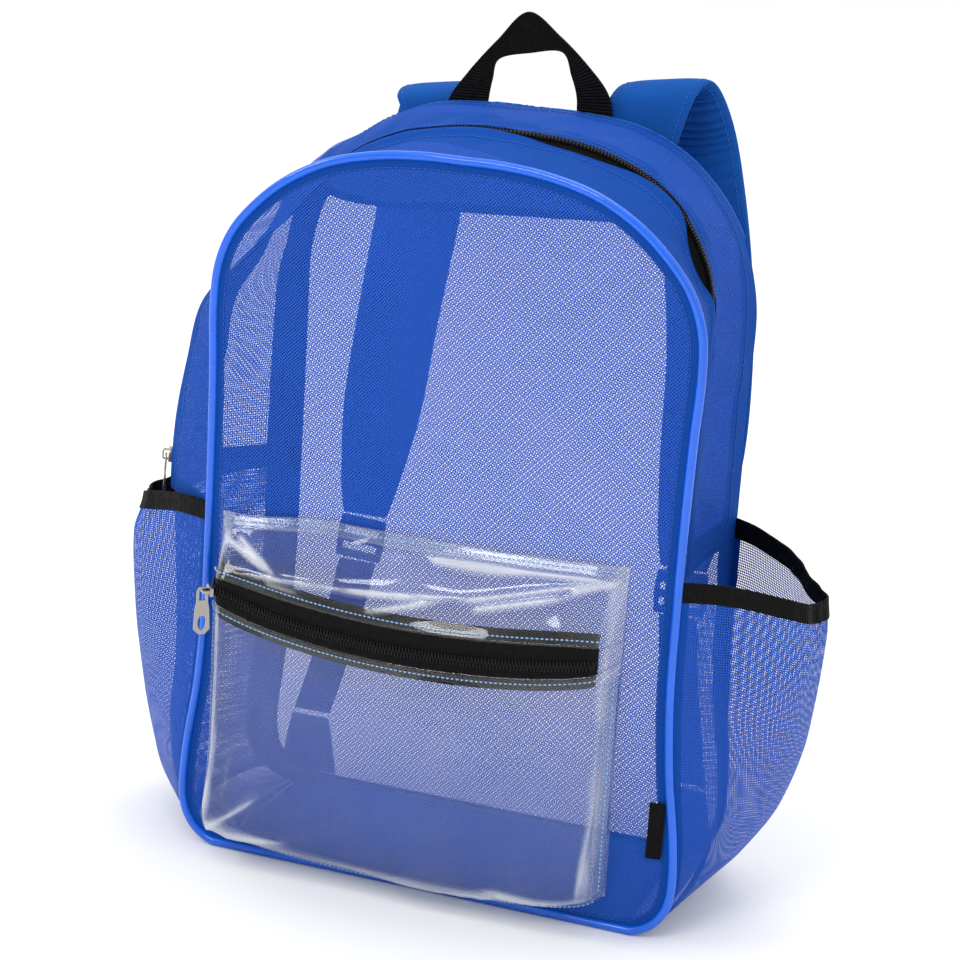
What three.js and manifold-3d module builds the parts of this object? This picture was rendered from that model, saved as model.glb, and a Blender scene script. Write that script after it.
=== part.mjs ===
// Mesh backpack: a royal blue see-through day pack with a clear front pocket.
// Millimetres, +Z up, the front faces -Y and +X is to the right of someone who looks at the front.
// The origin is on the ground under the middle of the base.
import * as THREE from 'three';
import { mergeVertices } from 'three/addons/utils/BufferGeometryUtils.js';
import Module from 'manifold-3d';

const wasm = await Module();
wasm.setup();

// Body
const DEPTH = 130;
const BODY_HEIGHT = 447;
const DOME_HALF_WIDTH = 150;
const FRONT_DOME = 16;
const BACK_DOME = 6;
const CLOTH = 1.2;
const GUSSET_CLOTH = 1.6;
const GAP = 0.3;
const PIPING_RADIUS = 2.7;
const BASE_REACH = 128;
const YOKE_BOTTOM = 398;
const TOP_BLEND = 45;

// Main zip, along the gusset
const ZIP_END_HEIGHT = 212;
const ZIP_LINE = 0.385;
const ZIP_TAPE_WIDTH = 11;
const ZIP_COIL_WIDTH = 4.6;
const ZIP_COIL_HEIGHT = 1.5;
const MAIN_SLIDER_HEIGHT = 231;

// Side pockets
const POCKET_FOOT = 9;
const POCKET_TOP = 222.5;
const POCKET_SAG = 20;
const POCKET_SEAM_GAP = 0.8;
const BINDING_HEIGHT = 12;
const BINDING_THICKNESS = 2;
const GATHER_DEPTH = 2.4;
const GATHER_COUNT = 4;

// Clear front pocket
const VINYL_LEFT = -135.5;
const VINYL_RIGHT = 119;
const VINYL_FOOT = 8;
const VINYL_FOOT_RISE = 15;
const VINYL_TOP = 220.5;
const VINYL_TOP_RISE = 8.5;
const VINYL_TOP_REACH = 80;
const VINYL_DEPTH = 24;
const VINYL_ROUND = 14;
const VINYL_SHEET = 1;
const VINYL_ZIP_HEIGHT = 168.5;
const VINYL_ZIP_SMILE = 11;
const VINYL_ZIP_HALF = 10.5;
const VINYL_ZIP_TAPER = 1;
const VINYL_ZIP_END_TAPER = 3.5;
const VINYL_ZIP_RIGHT = 111;
const VINYL_ZIP_TAPE = 0.8;
const VINYL_FLARE = 10;
const VINYL_FLARE_TOP = 95;
const VINYL_FLARE_REACH = 40;

// Zip sliders and pulls
const SLIDER_LENGTH = 9;
const SLIDER_WIDTH = 8;
const SLIDER_BODY = 2.2;
const ARCH_LENGTH = 7.2;
const ARCH_WIDTH = 2;
const ARCH_BAR = 1.2;
const ARCH_GAP = 2.9;
const PULL_THICKNESS = 1.2;
const PULL_RING_RADIUS = 3.5;
const PULL_HALF_WIDTH = 5;
const PULL_LENGTH = 27;
const SLIDER_FROM_CORNER = 8;

// Handle and straps
const HANDLE_MIDDLE = -6.5;
const HANDLE_Y = 67.4;
const WEBBING_THICKNESS = 1.8;
const STRAP_CREST_LEFT = -17;
const STRAP_SPREAD_LEFT = -6;
const STRAP_SPREAD_RIGHT = 3.5;
const STRAP_TILT = 0.15;
const WEBBING_WIDTH = 25;

// Half outline of the bag, from the middle of the base round one side to the middle of the top.
// frontX, frontZ: front piping line. backX, backZ: back seam line.
const OUTLINE = [
  [0, 0, 0, 0],
  [70, 0, 70, 0],
  [121, 0.3, 120, 0.3],
  [140, 4, 138, 4],
  [151, 12, 149, 12],
  [157, 24, 154.5, 24],
  [158.4, 39, 156, 39],
  [156.5, 66, 154, 66],
  [151, 105, 150, 105],
  [147.5, 152, 148, 152],
  [146.8, 213, 147.5, 216],
  [147, 263, 147.5, 270],
  [147.8, 308, 147.5, 318],
  [149, 343, 147.5, 353],
  [147, 368, 143.5, 376],
  [138.5, 390, 136.5, 397],
  [123, 409, 126.5, 415],
  [104, 424.7, 113, 431],
  [80, 437, 94, 446.5],
  [52, 444, 66, 458.5],
  [25, 446.8, 34, 462.5],
  [0, 447, 0, 462.5],
];

// How far the cloth swells out between the front and back seams, by height.
// height, left: left side, right: right side, pocketLeft and pocketRight: side pockets,
// leftDip: how far the left side also dips in front of its middle and swells behind it.
const SWELL = [
  [0, 0, 0, 0, 0, 0],
  [9, 16, 3, 17.5, 4.5, 0],
  [18, 25, 4, 30, 9, 0],
  [28, 32, 5, 40, 16, 0],
  [43, 37, 5, 47, 29, 0],
  [63, 40, 4, 56, 45, 0],
  [93, 42, 0, 67, 60, 0],
  [133, 46, -4, 75, 68, 0],
  [180, 50, -7.5, 78, 71, 0],
  [201, 51, -8.5, 71, 68.5, 0],
  [225, 52, -9, 68, 66, 0],
  [263, 49, -10, 68, 66, 0],
  [303, 41, -10, 68, 66, 0],
  [321, 37, -10, 68, 66, 0],
  [334, 31.5, -10, 68, 66, 0],
  [345, 23, -10, 68, 66, 0],
  [357, 12, -9, 68, 66, 2],
  [370, 5, -7, 68, 66, 6],
  [385, 0.5, -4.3, 68, 66, 9],
  [403, -2.7, -0.5, 68, 66, 11],
  [423, -4, 3.8, 68, 66, 9],
  [437, -3.5, 5.2, 68, 66, 5],
  [448, -0.6, 5.5, 68, 66, 2],
  [453, 2.5, 5.5, 68, 66, 1],
  [463, 5.5, 5.5, 68, 66, 0],
  [473, 5.5, 5.5, 68, 66, 0],
];

// Right shoulder strap, from its seam on the back, over the crest and down.
// run, x, y, z: middle line. halfWidth and thickness: section.
const STRAP = [
  [0, 60, 70.6, 426, 25, 2.6],
  [1, 62, 71.2, 448, 26, 3.4],
  [2, 68, 75, 473, 27, 6],
  [3, 72, 86, 481.5, 27.5, 7],
  [4, 76, 98, 473.5, 28, 7.5],
  [5, 83, 107, 450, 28.5, 8],
  [6, 91, 112, 414, 28.5, 8],
  [7, 99, 116, 366, 28.5, 8],
  [8, 106, 116, 308, 28, 8],
  [9, 109, 110, 248, 27, 7.5],
  [10, 109, 100, 198, 20, 6],
  [11, 109, 95, 178, 15, 4],
];

// Lower webbing of the right strap, from the adjuster down to the corner tab.
const LOWER_WEBBING = [
  [0, 110, 88.6, 147.6],
  [1, 115, 83, 113],
  [2, 124, 75.5, 68],
  [3, 130, 71.6, 44],
];

// Carry handle, from the left leg over the apex, measured from the middle of the handle.
// run, outerX and outerZ: outer edge of the webbing. innerX and innerZ: its inner edge.
const HANDLE = [
  [0, -53, 438, -27, 438],
  [1, -51.5, 460, -26, 461],
  [2, -40.5, 478, -24, 476],
  [3, -22.5, 500, -20.5, 488.5],
  [4, -4, 518.5, -1, 494],
  [5, 17.5, 505.5, 19, 496.5],
  [6, 36, 490, 26, 483],
  [7, 49.5, 475, 30, 472],
  [8, 53, 461, 31, 461],
  [9, 53, 438, 31, 438],
];

const BLUE_MESH = 0x3a5fc8;
const BLUE_CLOTH = 0x1f4fc0;
const BLUE_GLOSS = 0x1560dc;
const BLACK = 0x141416;
const CLEAR = 0xbfd3ea;
const SILVER = 0xc9cacc;

const backpack = new THREE.Group();
backpack.name = 'mesh_backpack';

const lerp = THREE.MathUtils.lerp;
const clamp = THREE.MathUtils.clamp;

function steps(from, to, count) {
  return Array.from({ length: count + 1 }, (_, i) => lerp(from, to, i / count));
}

// Smooth curve through the rows of a table whose first column runs upward.
function curve(rows) {
  const slopes = rows.map((row, i) => {
    const before = rows[Math.max(i - 1, 0)];
    const after = rows[Math.min(i + 1, rows.length - 1)];
    return row.map((_, k) => (after[k] - before[k]) / (after[0] - before[0]));
  });
  return (at) => {
    let i = 0;
    while (i < rows.length - 2 && at > rows[i + 1][0]) {
      i += 1;
    }
    const span = rows[i + 1][0] - rows[i][0];
    const t = clamp((at - rows[i][0]) / span, 0, 1);
    const rise = t * t * (3 - 2 * t);
    const leave = t * (1 - t) * (1 - t) * span;
    const arrive = t * t * (t - 1) * span;
    return rows[i].map((value, k) => {
      const next = rows[i + 1][k];
      return lerp(value, next, rise) + slopes[i][k] * leave + slopes[i + 1][k] * arrive;
    });
  };
}

// The way round the outline is counted along the front line, right side first.
const ways = [0];
for (let i = 1; i < OUTLINE.length; i += 1) {
  const dx = OUTLINE[i][0] - OUTLINE[i - 1][0];
  const dz = OUTLINE[i][1] - OUTLINE[i - 1][1];
  ways.push(ways[i - 1] + Math.hypot(dx, dz));
}
const HALF_WAY = ways[ways.length - 1];
const WHOLE_WAY = 2 * HALF_WAY;
const mirrored = ([frontX, frontZ, backX, backZ]) => [-frontX, frontZ, -backX, backZ];
const last = OUTLINE.length - 1;
const outlineAt = curve([
  [-ways[1], ...mirrored(OUTLINE[1])],
  ...OUTLINE.map((row, i) => [ways[i], ...row]),
  [WHOLE_WAY - ways[last - 1], ...mirrored(OUTLINE[last - 1])],
]);
const swellAt = curve(SWELL);

// 1 in the middle of a panel, falling to 0 at its sides, top and bottom.
function bow(x, z) {
  const across = Math.max(0, 1 - (x / DOME_HALF_WIDTH) ** 2);
  const up = Math.max(0, 1 - ((2 * z) / BODY_HEIGHT - 1) ** 2);
  return across * up;
}

function frontY(x, z) {
  return -DEPTH / 2 - FRONT_DOME * bow(x, z);
}

function backY(x, z) {
  return DEPTH / 2 + BACK_DOME * bow(x, z);
}

// Point between the front line (v = 0) and the back line (v = 1) before the cloth swells.
function seam(way, v) {
  const round = ((way % WHOLE_WAY) + WHOLE_WAY) % WHOLE_WAY;
  const left = round > HALF_WAY;
  const side = left ? -1 : 1;
  const [, frontX, frontZ, backX, backZ] = outlineAt(left ? WHOLE_WAY - round : round);
  const y = lerp(frontY(frontX, frontZ), backY(backX, backZ), v);
  return new THREE.Vector3(side * lerp(frontX, backX, v), y, Math.max(lerp(frontZ, backZ, v), 0));
}

// Outward direction across the outline, in the X-Z plane.
function outward(way, v) {
  const along = seam(way + 1, v).sub(seam(way - 1, v));
  return new THREE.Vector3(along.z, 0, -along.x).normalize();
}

// Gusset cloth: the seam point pushed out by the swell, plus a lift square to the outline.
// The push never points down, so the base stays level.
function gusset(way, v, lift, inPocket = false) {
  const point = seam(way, v);
  const normal = outward(way, v);
  const push = new THREE.Vector3(normal.x, 0, Math.max(normal.z, 0));
  const [, left, right, pocketLeft, pocketRight, leftDip] = swellAt(point.z);
  const leftShare = THREE.MathUtils.smoothstep(-point.x, 0, TOP_BLEND);
  const body = lerp(right, left, leftShare) * Math.sin(Math.PI * v);
  const dip = leftDip * leftShare * Math.sin(2 * Math.PI * v);
  const pocket = (point.x < 0 ? pocketLeft : pocketRight) * Math.sin(Math.PI * v);
  const swell = inPocket ? pocket : body - dip;
  if (push.length() > 0.01) {
    push.normalize();
  }
  return point.addScaledVector(push, swell).addScaledVector(normal, lift);
}

// Way round, on the right side, at which the front line reaches a height.
function wayAtHeight(height) {
  let low = BASE_REACH;
  let high = HALF_WAY;
  for (let i = 0; i < 40; i += 1) {
    const middle = (low + high) / 2;
    if (seam(middle, 0).z < height) {
      low = middle;
    } else {
      high = middle;
    }
  }
  return low;
}

function closedGeometry(points, faces) {
  const geometry = new THREE.BufferGeometry();
  geometry.setFromPoints(points);
  let volume = 0;
  const cross = new THREE.Vector3();
  for (const [a, b, c] of faces) {
    volume += points[a].dot(cross.crossVectors(points[b], points[c]));
  }
  const turned = volume < 0 ? faces.map(([a, b, c]) => [a, c, b]) : faces;
  geometry.setIndex(turned.flat());
  return geometry;
}

// Thin closed wall between two sheets, each a function of two parameters.
function wall(outer, inner, us, vs) {
  const back = [...vs].reverse();
  const rings = us.map((u) => [...vs.map((v) => outer(u, v)), ...back.map((v) => inner(u, v))]);
  const count = 2 * vs.length;
  const faces = [];
  const quad = (a, b, c, d) => faces.push([a, b, c], [a, c, d]);
  for (let i = 0; i + 1 < rings.length; i += 1) {
    for (let j = 0; j < count; j += 1) {
      const next = (j + 1) % count;
      quad(i * count + j, i * count + next, (i + 1) * count + next, (i + 1) * count + j);
    }
  }
  const end = (rings.length - 1) * count;
  for (let j = 0; j + 1 < vs.length; j += 1) {
    quad(j, count - 1 - j, count - 2 - j, j + 1);
    quad(end + j, end + j + 1, end + count - 2 - j, end + count - 1 - j);
  }
  return closedGeometry(rings.flat(), faces);
}

function add(name, geometry, color, roughness, metalness = 0) {
  const material = new THREE.MeshStandardMaterial({ color, roughness, metalness });
  const mesh = new THREE.Mesh(geometry, material);
  mesh.name = name;
  backpack.add(mesh);
  return mesh;
}

function bare(geometry) {
  geometry.deleteAttribute('normal');
  geometry.deleteAttribute('uv');
  return mergeVertices(geometry, 1e-4);
}

function solid(geometry) {
  const merged = bare(geometry.index ? geometry.toNonIndexed() : geometry);
  return new wasm.Manifold(new wasm.Mesh({
    numProp: 3,
    vertProperties: new Float32Array(merged.attributes.position.array),
    triVerts: new Uint32Array(merged.index.array),
  }));
}

function geometryOf(manifold) {
  const { vertProperties, triVerts } = manifold.getMesh();
  const geometry = new THREE.BufferGeometry();
  geometry.setAttribute('position', new THREE.BufferAttribute(vertProperties, 3));
  geometry.setIndex(new THREE.BufferAttribute(triVerts, 1));
  return geometry;
}

const SEAM_INSET = PIPING_RADIUS + 4 * GAP;
const V_FRONT = (PIPING_RADIUS + GAP) / DEPTH;
const V_BACK = 1;
const WAY_ZIP_END = wayAtHeight(ZIP_END_HEIGHT);

// Rows for the panels: close together round the corners and the shoulders.
const PANEL_WAYS = [
  ...steps(116, 190, 6),
  ...steps(215, 450, 5),
  ...steps(470, HALF_WAY - 14, 10),
];

// Panel spanning the outline in level rows, set in from the seam line.
function panel(wayRows, v, inset, foot, surfaceY, columns) {
  const sheet = (offset) => (way, a) => {
    const edge = seam(way, v).addScaledVector(outward(way, v), -inset);
    const z = Math.max(edge.z, foot);
    const x = a * edge.x;
    return new THREE.Vector3(x, surfaceY(x, z) + offset, z);
  };
  return wall(sheet(-CLOTH / 2), sheet(CLOTH / 2), wayRows, steps(-1, 1, columns));
}

add('front_panel', panel(PANEL_WAYS, 0, SEAM_INSET, PIPING_RADIUS + SEAM_INSET, frontY, 8), BLUE_MESH, 0.8);

const pipingPoints = steps(0, WHOLE_WAY, 110).slice(0, -1).map((way) => {
  const point = seam(way, 0);
  return point.setZ(Math.max(point.z, PIPING_RADIUS));
});
const pipingLine = new THREE.CatmullRomCurve3(pipingPoints, true);
add('front_piping', bare(new THREE.TubeGeometry(pipingLine, 110, PIPING_RADIUS, 6, true)), BLUE_GLOSS, 0.25);

// Back: mesh panel below, closed woven yoke above.
const backInset = GUSSET_CLOTH + 4 * GAP;
const wayYoke = wayAtHeight(YOKE_BOTTOM - 6);
const backWays = [...PANEL_WAYS.filter((way) => way < wayYoke - 6), wayYoke];
const yokeWays = [wayYoke + GAP, ...PANEL_WAYS.filter((way) => way > wayYoke + 6)];
add('back_panel', panel(backWays, 1, backInset, backInset, backY, 8), BLUE_MESH, 0.8);
add('back_yoke', panel(yokeWays, 1, backInset, backInset, backY, 6), BLUE_CLOTH, 0.85);

// Strip of gusset cloth between two lines, over a range of the way round.
function strip(wayRows, vColumns, outerLift, innerLift) {
  const sheet = (lift) => (way, v) => gusset(way, v, lift);
  return wall(sheet(outerLift), sheet(innerLift), wayRows, vColumns);
}

const zipWays = steps(WAY_ZIP_END, WHOLE_WAY - WAY_ZIP_END, 40);
const tapeHalf = ZIP_TAPE_WIDTH / 2 / DEPTH;
const coilHalf = ZIP_COIL_WIDTH / 2 / DEPTH;
const slit = GAP / DEPTH;
const frontColumns = steps(V_FRONT, ZIP_LINE - tapeHalf - slit, 3);
const backColumns = steps(ZIP_LINE + tapeHalf + slit, V_BACK, 5);
const tapeColumns = [ZIP_LINE - tapeHalf, ZIP_LINE, ZIP_LINE + tapeHalf];
const coilColumns = [ZIP_LINE - coilHalf, ZIP_LINE + coilHalf];
add('gusset_front_strip', strip(zipWays, frontColumns, 0, -GUSSET_CLOTH), BLUE_MESH, 0.8);
add('gusset_back_strip', strip(zipWays, backColumns, 0, -GUSSET_CLOTH), BLUE_MESH, 0.8);
add('main_zip_tape', strip(zipWays, tapeColumns, -0.4, -GUSSET_CLOTH), BLACK, 0.9);
const coilLift = ZIP_COIL_HEIGHT + GAP;
add('main_zip_coil', strip(zipWays, coilColumns, coilLift - 0.4, GAP), BLACK, 0.4);

// Sides below the zip, and the base between them.
const sideWays = [...steps(BASE_REACH + GAP, 190, 4), ...steps(215, WAY_ZIP_END - GAP, 6)];
const sideColumns = steps(V_FRONT, V_BACK, 9);
const toLeft = (way) => WHOLE_WAY - way;
add('side_panel_right', strip(sideWays, sideColumns, 0, -GUSSET_CLOTH), BLUE_MESH, 0.8);
add('side_panel_left', strip(sideWays.map(toLeft), sideColumns, 0, -GUSSET_CLOTH), BLUE_MESH, 0.8);
const baseWays = [-BASE_REACH, -116, 0, 116, BASE_REACH];
add('base_panel', strip(baseWays, [V_FRONT, V_BACK], 0, -GUSSET_CLOTH), BLUE_CLOTH, 0.85);

// Side pockets: mesh that stands out from the side, with an elastic binding round the mouth.
const pocketRise = [0, 0.08, 0.18, 0.3, 0.45, 0.62, 0.8, 1];
const pocketColumns = steps(V_FRONT + 0.012, 1 - 0.012, 4 * GATHER_COUNT);
const wayFoot = wayAtHeight(POCKET_FOOT);
const pocketMouth = (v) => POCKET_TOP - POCKET_SAG * Math.sin(Math.PI * v) ** 2;

// The gathers are deepest at the mouth, where the elastic draws the mesh in, and die out at the seams.
function pocketWall(place, lowAt, highAt, rise, gatherAt, thickness) {
  const sheet = (lift) => (t, v) => {
    const across = (v - pocketColumns[0]) / (pocketColumns[pocketColumns.length - 1] - pocketColumns[0]);
    const fold = Math.sin(2 * Math.PI * GATHER_COUNT * across) * Math.sin(Math.PI * across);
    const gather = GATHER_DEPTH * gatherAt(t) * fold;
    return gusset(place(lerp(lowAt(v), highAt(v), t)), v, meshLift + gather + lift, true);
  };
  return wall(sheet(thickness / 2), sheet(-thickness / 2), rise, pocketColumns);
}

const meshLift = POCKET_SEAM_GAP + BINDING_THICKNESS / 2;
const meshTop = (v) => wayAtHeight(pocketMouth(v) - BINDING_HEIGHT - GAP);
const bindingFoot = (v) => wayAtHeight(pocketMouth(v) - BINDING_HEIGHT);
const bindingTop = (v) => wayAtHeight(pocketMouth(v));
for (const [side, place] of [['right', (way) => way], ['left', toLeft]]) {
  const mesh = pocketWall(place, () => wayFoot, meshTop, pocketRise, (t) => t ** 3, CLOTH);
  const binding = pocketWall(place, bindingFoot, bindingTop, [0, 1], () => 1, BINDING_THICKNESS);
  add(`side_pocket_${side}`, mesh, BLUE_MESH, 0.8);
  add(`pocket_binding_${side}`, binding, BLACK, 0.9);
}

// Clear box pocket: its sheet stands off the front panel, steep at its sides and foot,
// level across the front, and slopes back to the top seam above the zip.
// The foot and the zip both rise towards the sides.
const vinylMiddle = (VINYL_LEFT + VINYL_RIGHT) / 2;
const vinylHalf = (VINYL_RIGHT - VINYL_LEFT) / 2;
const sideways = (x) => Math.min(Math.abs(x - vinylMiddle) / vinylHalf, 1);
const vinylFoot = (x) => VINYL_FOOT + VINYL_FOOT_RISE * (0.45 * sideways(x) ** 2 + 0.55 * sideways(x) ** 8);
const zipMiddle = (x) => VINYL_ZIP_HEIGHT + VINYL_ZIP_SMILE * sideways(x) ** 2;

// The top seam drops towards its left end.
function vinylTop(x) {
  return VINYL_TOP + VINYL_TOP_RISE * THREE.MathUtils.smoothstep(x - VINYL_LEFT, 0, VINYL_TOP_REACH);
}

function zipHalf(x) {
  const side = sideways(x);
  return VINYL_ZIP_HALF - VINYL_ZIP_TAPER * side ** 2 - VINYL_ZIP_END_TAPER * side ** 8;
}

const zipLow = (x) => zipMiddle(x) - zipHalf(x);
const zipHigh = (x) => zipMiddle(x) + zipHalf(x);

function vinylStand(x, z) {
  const side = clamp(Math.min(x - VINYL_LEFT, VINYL_RIGHT - x) / VINYL_ROUND, 0, 1);
  const foot = clamp((z - vinylFoot(x)) / VINYL_ROUND, 0, 1);
  const slope = clamp((vinylTop(x) - z) / (vinylTop(x) - zipHigh(x)), 0, 1);
  return (1 - (1 - side) ** 3) * (1 - (1 - foot) ** 3) * slope;
}

function vinylY(x, z) {
  return frontY(x, z) - CLOTH / 2 - 2 * GAP - VINYL_DEPTH * vinylStand(x, z);
}

function vinylNormal(x, z) {
  const inside = clamp(x, VINYL_LEFT + 0.6, VINYL_RIGHT - 0.6);
  const level = clamp(z, vinylFoot(inside) + 0.6, vinylTop(inside) - 0.6);
  const slopeX = vinylY(inside + 0.5, level) - vinylY(inside - 0.5, level);
  const slopeZ = vinylY(inside, level + 0.5) - vinylY(inside, level - 0.5);
  return new THREE.Vector3(slopeX, -1, slopeZ).normalize();
}

// The lower left corner of the sheet spreads outward.
function vinylPoint(x, z, lift) {
  const near = clamp(1 - (x - VINYL_LEFT) / VINYL_FLARE_REACH, 0, 1);
  const low = clamp((VINYL_FLARE_TOP - z) / VINYL_FLARE_TOP, 0, 1);
  const spread = VINYL_FLARE * near ** 2 * low ** 2;
  const point = new THREE.Vector3(x - spread, vinylY(x, z), z);
  return point.addScaledVector(vinylNormal(x, z), lift);
}

// Stretch of the sheet between two heights, each a function of x, in rows from 0 to 1.
function vinylWall(columns, lowAt, highAt, rows, low, high) {
  const sheet = (lift) => (x, t) => vinylPoint(x, lerp(lowAt(x), highAt(x), t), lift);
  return wall(sheet(high), sheet(low), columns, rows);
}

const roundColumns = [0, 1.5, 3.5, 6, 9.5, VINYL_ROUND];
const vinylColumns = [
  ...roundColumns.map((run) => VINYL_LEFT + run),
  ...steps(VINYL_LEFT + 36, VINYL_RIGHT - 36, 6),
  ...[...roundColumns].reverse().map((run) => VINYL_RIGHT - run),
];
const vinylRows = [...roundColumns.map((run) => run / (VINYL_ZIP_HEIGHT - VINYL_FOOT)), 0.35, 0.65, 1];
const tapeFoot = (x) => zipLow(x) - GAP;
const tapeTop = (x) => zipHigh(x) + GAP;
add('vinyl_lower', vinylWall(vinylColumns, vinylFoot, tapeFoot, vinylRows, 0, VINYL_SHEET), CLEAR, 0.1);
add('vinyl_upper', vinylWall(vinylColumns, tapeTop, vinylTop, steps(0, 1, 3), 0, VINYL_SHEET), CLEAR, 0.1);

const zipColumns = [...vinylColumns.filter((x) => x < VINYL_ZIP_RIGHT - 1), VINYL_ZIP_RIGHT];
const endColumns = [VINYL_ZIP_RIGHT + GAP, ...vinylColumns.filter((x) => x > VINYL_ZIP_RIGHT + 1)];
const coilLow = (x) => zipMiddle(x) - ZIP_COIL_WIDTH / 2;
const coilHigh = (x) => zipMiddle(x) + ZIP_COIL_WIDTH / 2;
const coilFoot = VINYL_ZIP_TAPE + GAP;
const coilTop = coilFoot + ZIP_COIL_HEIGHT;
add('pocket_zip_tape', vinylWall(zipColumns, zipLow, zipHigh, [0, 1], 0, VINYL_ZIP_TAPE), BLACK, 0.9);
add('pocket_zip_coil', vinylWall(zipColumns, coilLow, coilHigh, [0, 1], coilFoot, coilTop), BLACK, 0.4);
add('vinyl_zip_end', vinylWall(endColumns, zipLow, zipHigh, [0, 1], 0, VINYL_SHEET), CLEAR, 0.1);

// Zip slider: flat body with an arch over it. X along the zip, Y across the tape, Z away from it.
function sliderGeometry() {
  const half = SLIDER_LENGTH / 2;
  const body = new THREE.Shape();
  body.moveTo(-half, -SLIDER_WIDTH * 0.32);
  body.lineTo(half - 2.5, -SLIDER_WIDTH / 2);
  body.lineTo(half, -SLIDER_WIDTH * 0.3);
  body.lineTo(half, SLIDER_WIDTH * 0.3);
  body.lineTo(half - 2.5, SLIDER_WIDTH / 2);
  body.lineTo(-half, SLIDER_WIDTH * 0.32);
  const plate = new THREE.ExtrudeGeometry(body, { depth: SLIDER_BODY, bevelEnabled: false });
  const foot = SLIDER_BODY - 0.4;
  const crown = SLIDER_BODY + ARCH_GAP;
  const reach = ARCH_LENGTH / 2;
  const arch = new THREE.Shape();
  arch.moveTo(-reach, foot);
  arch.lineTo(-reach, crown);
  arch.lineTo(-reach + ARCH_BAR, crown + ARCH_BAR);
  arch.lineTo(reach - ARCH_BAR, crown + ARCH_BAR);
  arch.lineTo(reach, crown);
  arch.lineTo(reach, foot);
  arch.lineTo(reach - ARCH_BAR, foot);
  arch.lineTo(reach - ARCH_BAR, crown);
  arch.lineTo(-reach + ARCH_BAR, crown);
  arch.lineTo(-reach + ARCH_BAR, foot);
  const bridge = new THREE.ExtrudeGeometry(arch, { depth: ARCH_WIDTH, bevelEnabled: false });
  bridge.rotateX(Math.PI / 2);
  bridge.translate(0, ARCH_WIDTH / 2, 0);
  return geometryOf(solid(plate).add(solid(bridge)));
}

// Flat zip pull in the X-Y plane, hanging along -Y from a ring round the origin.
function pullGeometry(holeTop) {
  const outline = new THREE.Shape();
  const shoulder = -holeTop - 7;
  const foot = -PULL_LENGTH;
  outline.moveTo(-PULL_HALF_WIDTH, foot + 3);
  outline.lineTo(-PULL_HALF_WIDTH + 3, foot);
  outline.lineTo(PULL_HALF_WIDTH - 3, foot);
  outline.lineTo(PULL_HALF_WIDTH, foot + 3);
  outline.lineTo(PULL_HALF_WIDTH - 0.6, shoulder - 3);
  outline.lineTo(PULL_RING_RADIUS, shoulder + 2);
  outline.absarc(0, holeTop - PULL_RING_RADIUS + 1.5, PULL_RING_RADIUS, 0, Math.PI, false);
  outline.lineTo(-PULL_RING_RADIUS, shoulder + 2);
  outline.lineTo(-PULL_HALF_WIDTH + 0.6, shoulder - 3);
  outline.closePath();
  const ring = new THREE.Path();
  ring.moveTo(-2, holeTop - 7);
  ring.lineTo(-2, holeTop - 1);
  ring.lineTo(-1, holeTop);
  ring.lineTo(1, holeTop);
  ring.lineTo(2, holeTop - 1);
  ring.lineTo(2, holeTop - 7);
  const grip = new THREE.Path();
  grip.absellipse(0, foot + 7.2, 2.6, 4.6, 0, Math.PI * 2, true);
  outline.holes.push(ring, grip);
  const settings = { depth: PULL_THICKNESS, bevelEnabled: false, curveSegments: 8 };
  const plate = new THREE.ExtrudeGeometry(outline, settings);
  plate.translate(0, 0, -PULL_THICKNESS / 2);
  return bare(plate);
}

function place(mesh, origin, along, across) {
  const away = new THREE.Vector3().crossVectors(along, across);
  mesh.quaternion.setFromRotationMatrix(new THREE.Matrix4().makeBasis(along, across, away));
  mesh.position.copy(origin);
}

const up = new THREE.Vector3(0, 0, 1);

// Main slider near the left end of the zip; its pull hangs flat on the side, from a bar under the arch.
const waySlider = toLeft(wayAtHeight(MAIN_SLIDER_HEIGHT));
const sliderFoot = gusset(waySlider, ZIP_LINE, coilLift - 0.4 + GAP);
const sideLow = gusset(waySlider + 4, ZIP_LINE, 0);
const sideHigh = gusset(waySlider - 4, ZIP_LINE, 0);
const zipUp = sideHigh.sub(sideLow).normalize();
const sideTangent = gusset(waySlider, ZIP_LINE + 0.02, 0).sub(gusset(waySlider, ZIP_LINE - 0.02, 0));
const sideAway = new THREE.Vector3().crossVectors(sideTangent, zipUp).normalize();
if (sideAway.x > 0) {
  sideAway.negate();
}
const sideAcross = new THREE.Vector3().crossVectors(sideAway, zipUp).normalize();
const mainSlider = add('main_slider', sliderGeometry(), SILVER, 0.3, 1);
place(mainSlider, sliderFoot, zipUp, sideAcross);
const mainPivot = sliderFoot.clone().addScaledVector(sideAway, SLIDER_BODY + ARCH_GAP / 2);
const mainPull = add('main_pull', pullGeometry(-0.75), SILVER, 0.3, 1);
place(mainPull, mainPivot, sideAcross.clone().negate(), zipUp);

// Pocket slider on the left end of the clear pocket; its pull hangs across the zip from the arch bar.
const endX = VINYL_LEFT + SLIDER_FROM_CORNER;
const endHeight = zipMiddle(endX);
const endAway = vinylNormal(endX, endHeight).setZ(0).normalize();
const endAlong = new THREE.Vector3(-endAway.y, endAway.x, 0);
const endFoot = vinylPoint(endX, endHeight, coilTop + GAP + 0.5);
const pocketSlider = add('pocket_slider', sliderGeometry(), SILVER, 0.3, 1);
place(pocketSlider, endFoot, endAlong.clone().negate(), new THREE.Vector3().crossVectors(endAlong, endAway));
const barLift = SLIDER_BODY + ARCH_GAP + ARCH_BAR / 2;
const pocketPivot = endFoot.clone().addScaledVector(endAway, barLift);
const pocketPull = add('pocket_pull', pullGeometry(1.4), SILVER, 0.3, 1);
place(pocketPull, pocketPivot, endAway, up);

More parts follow.
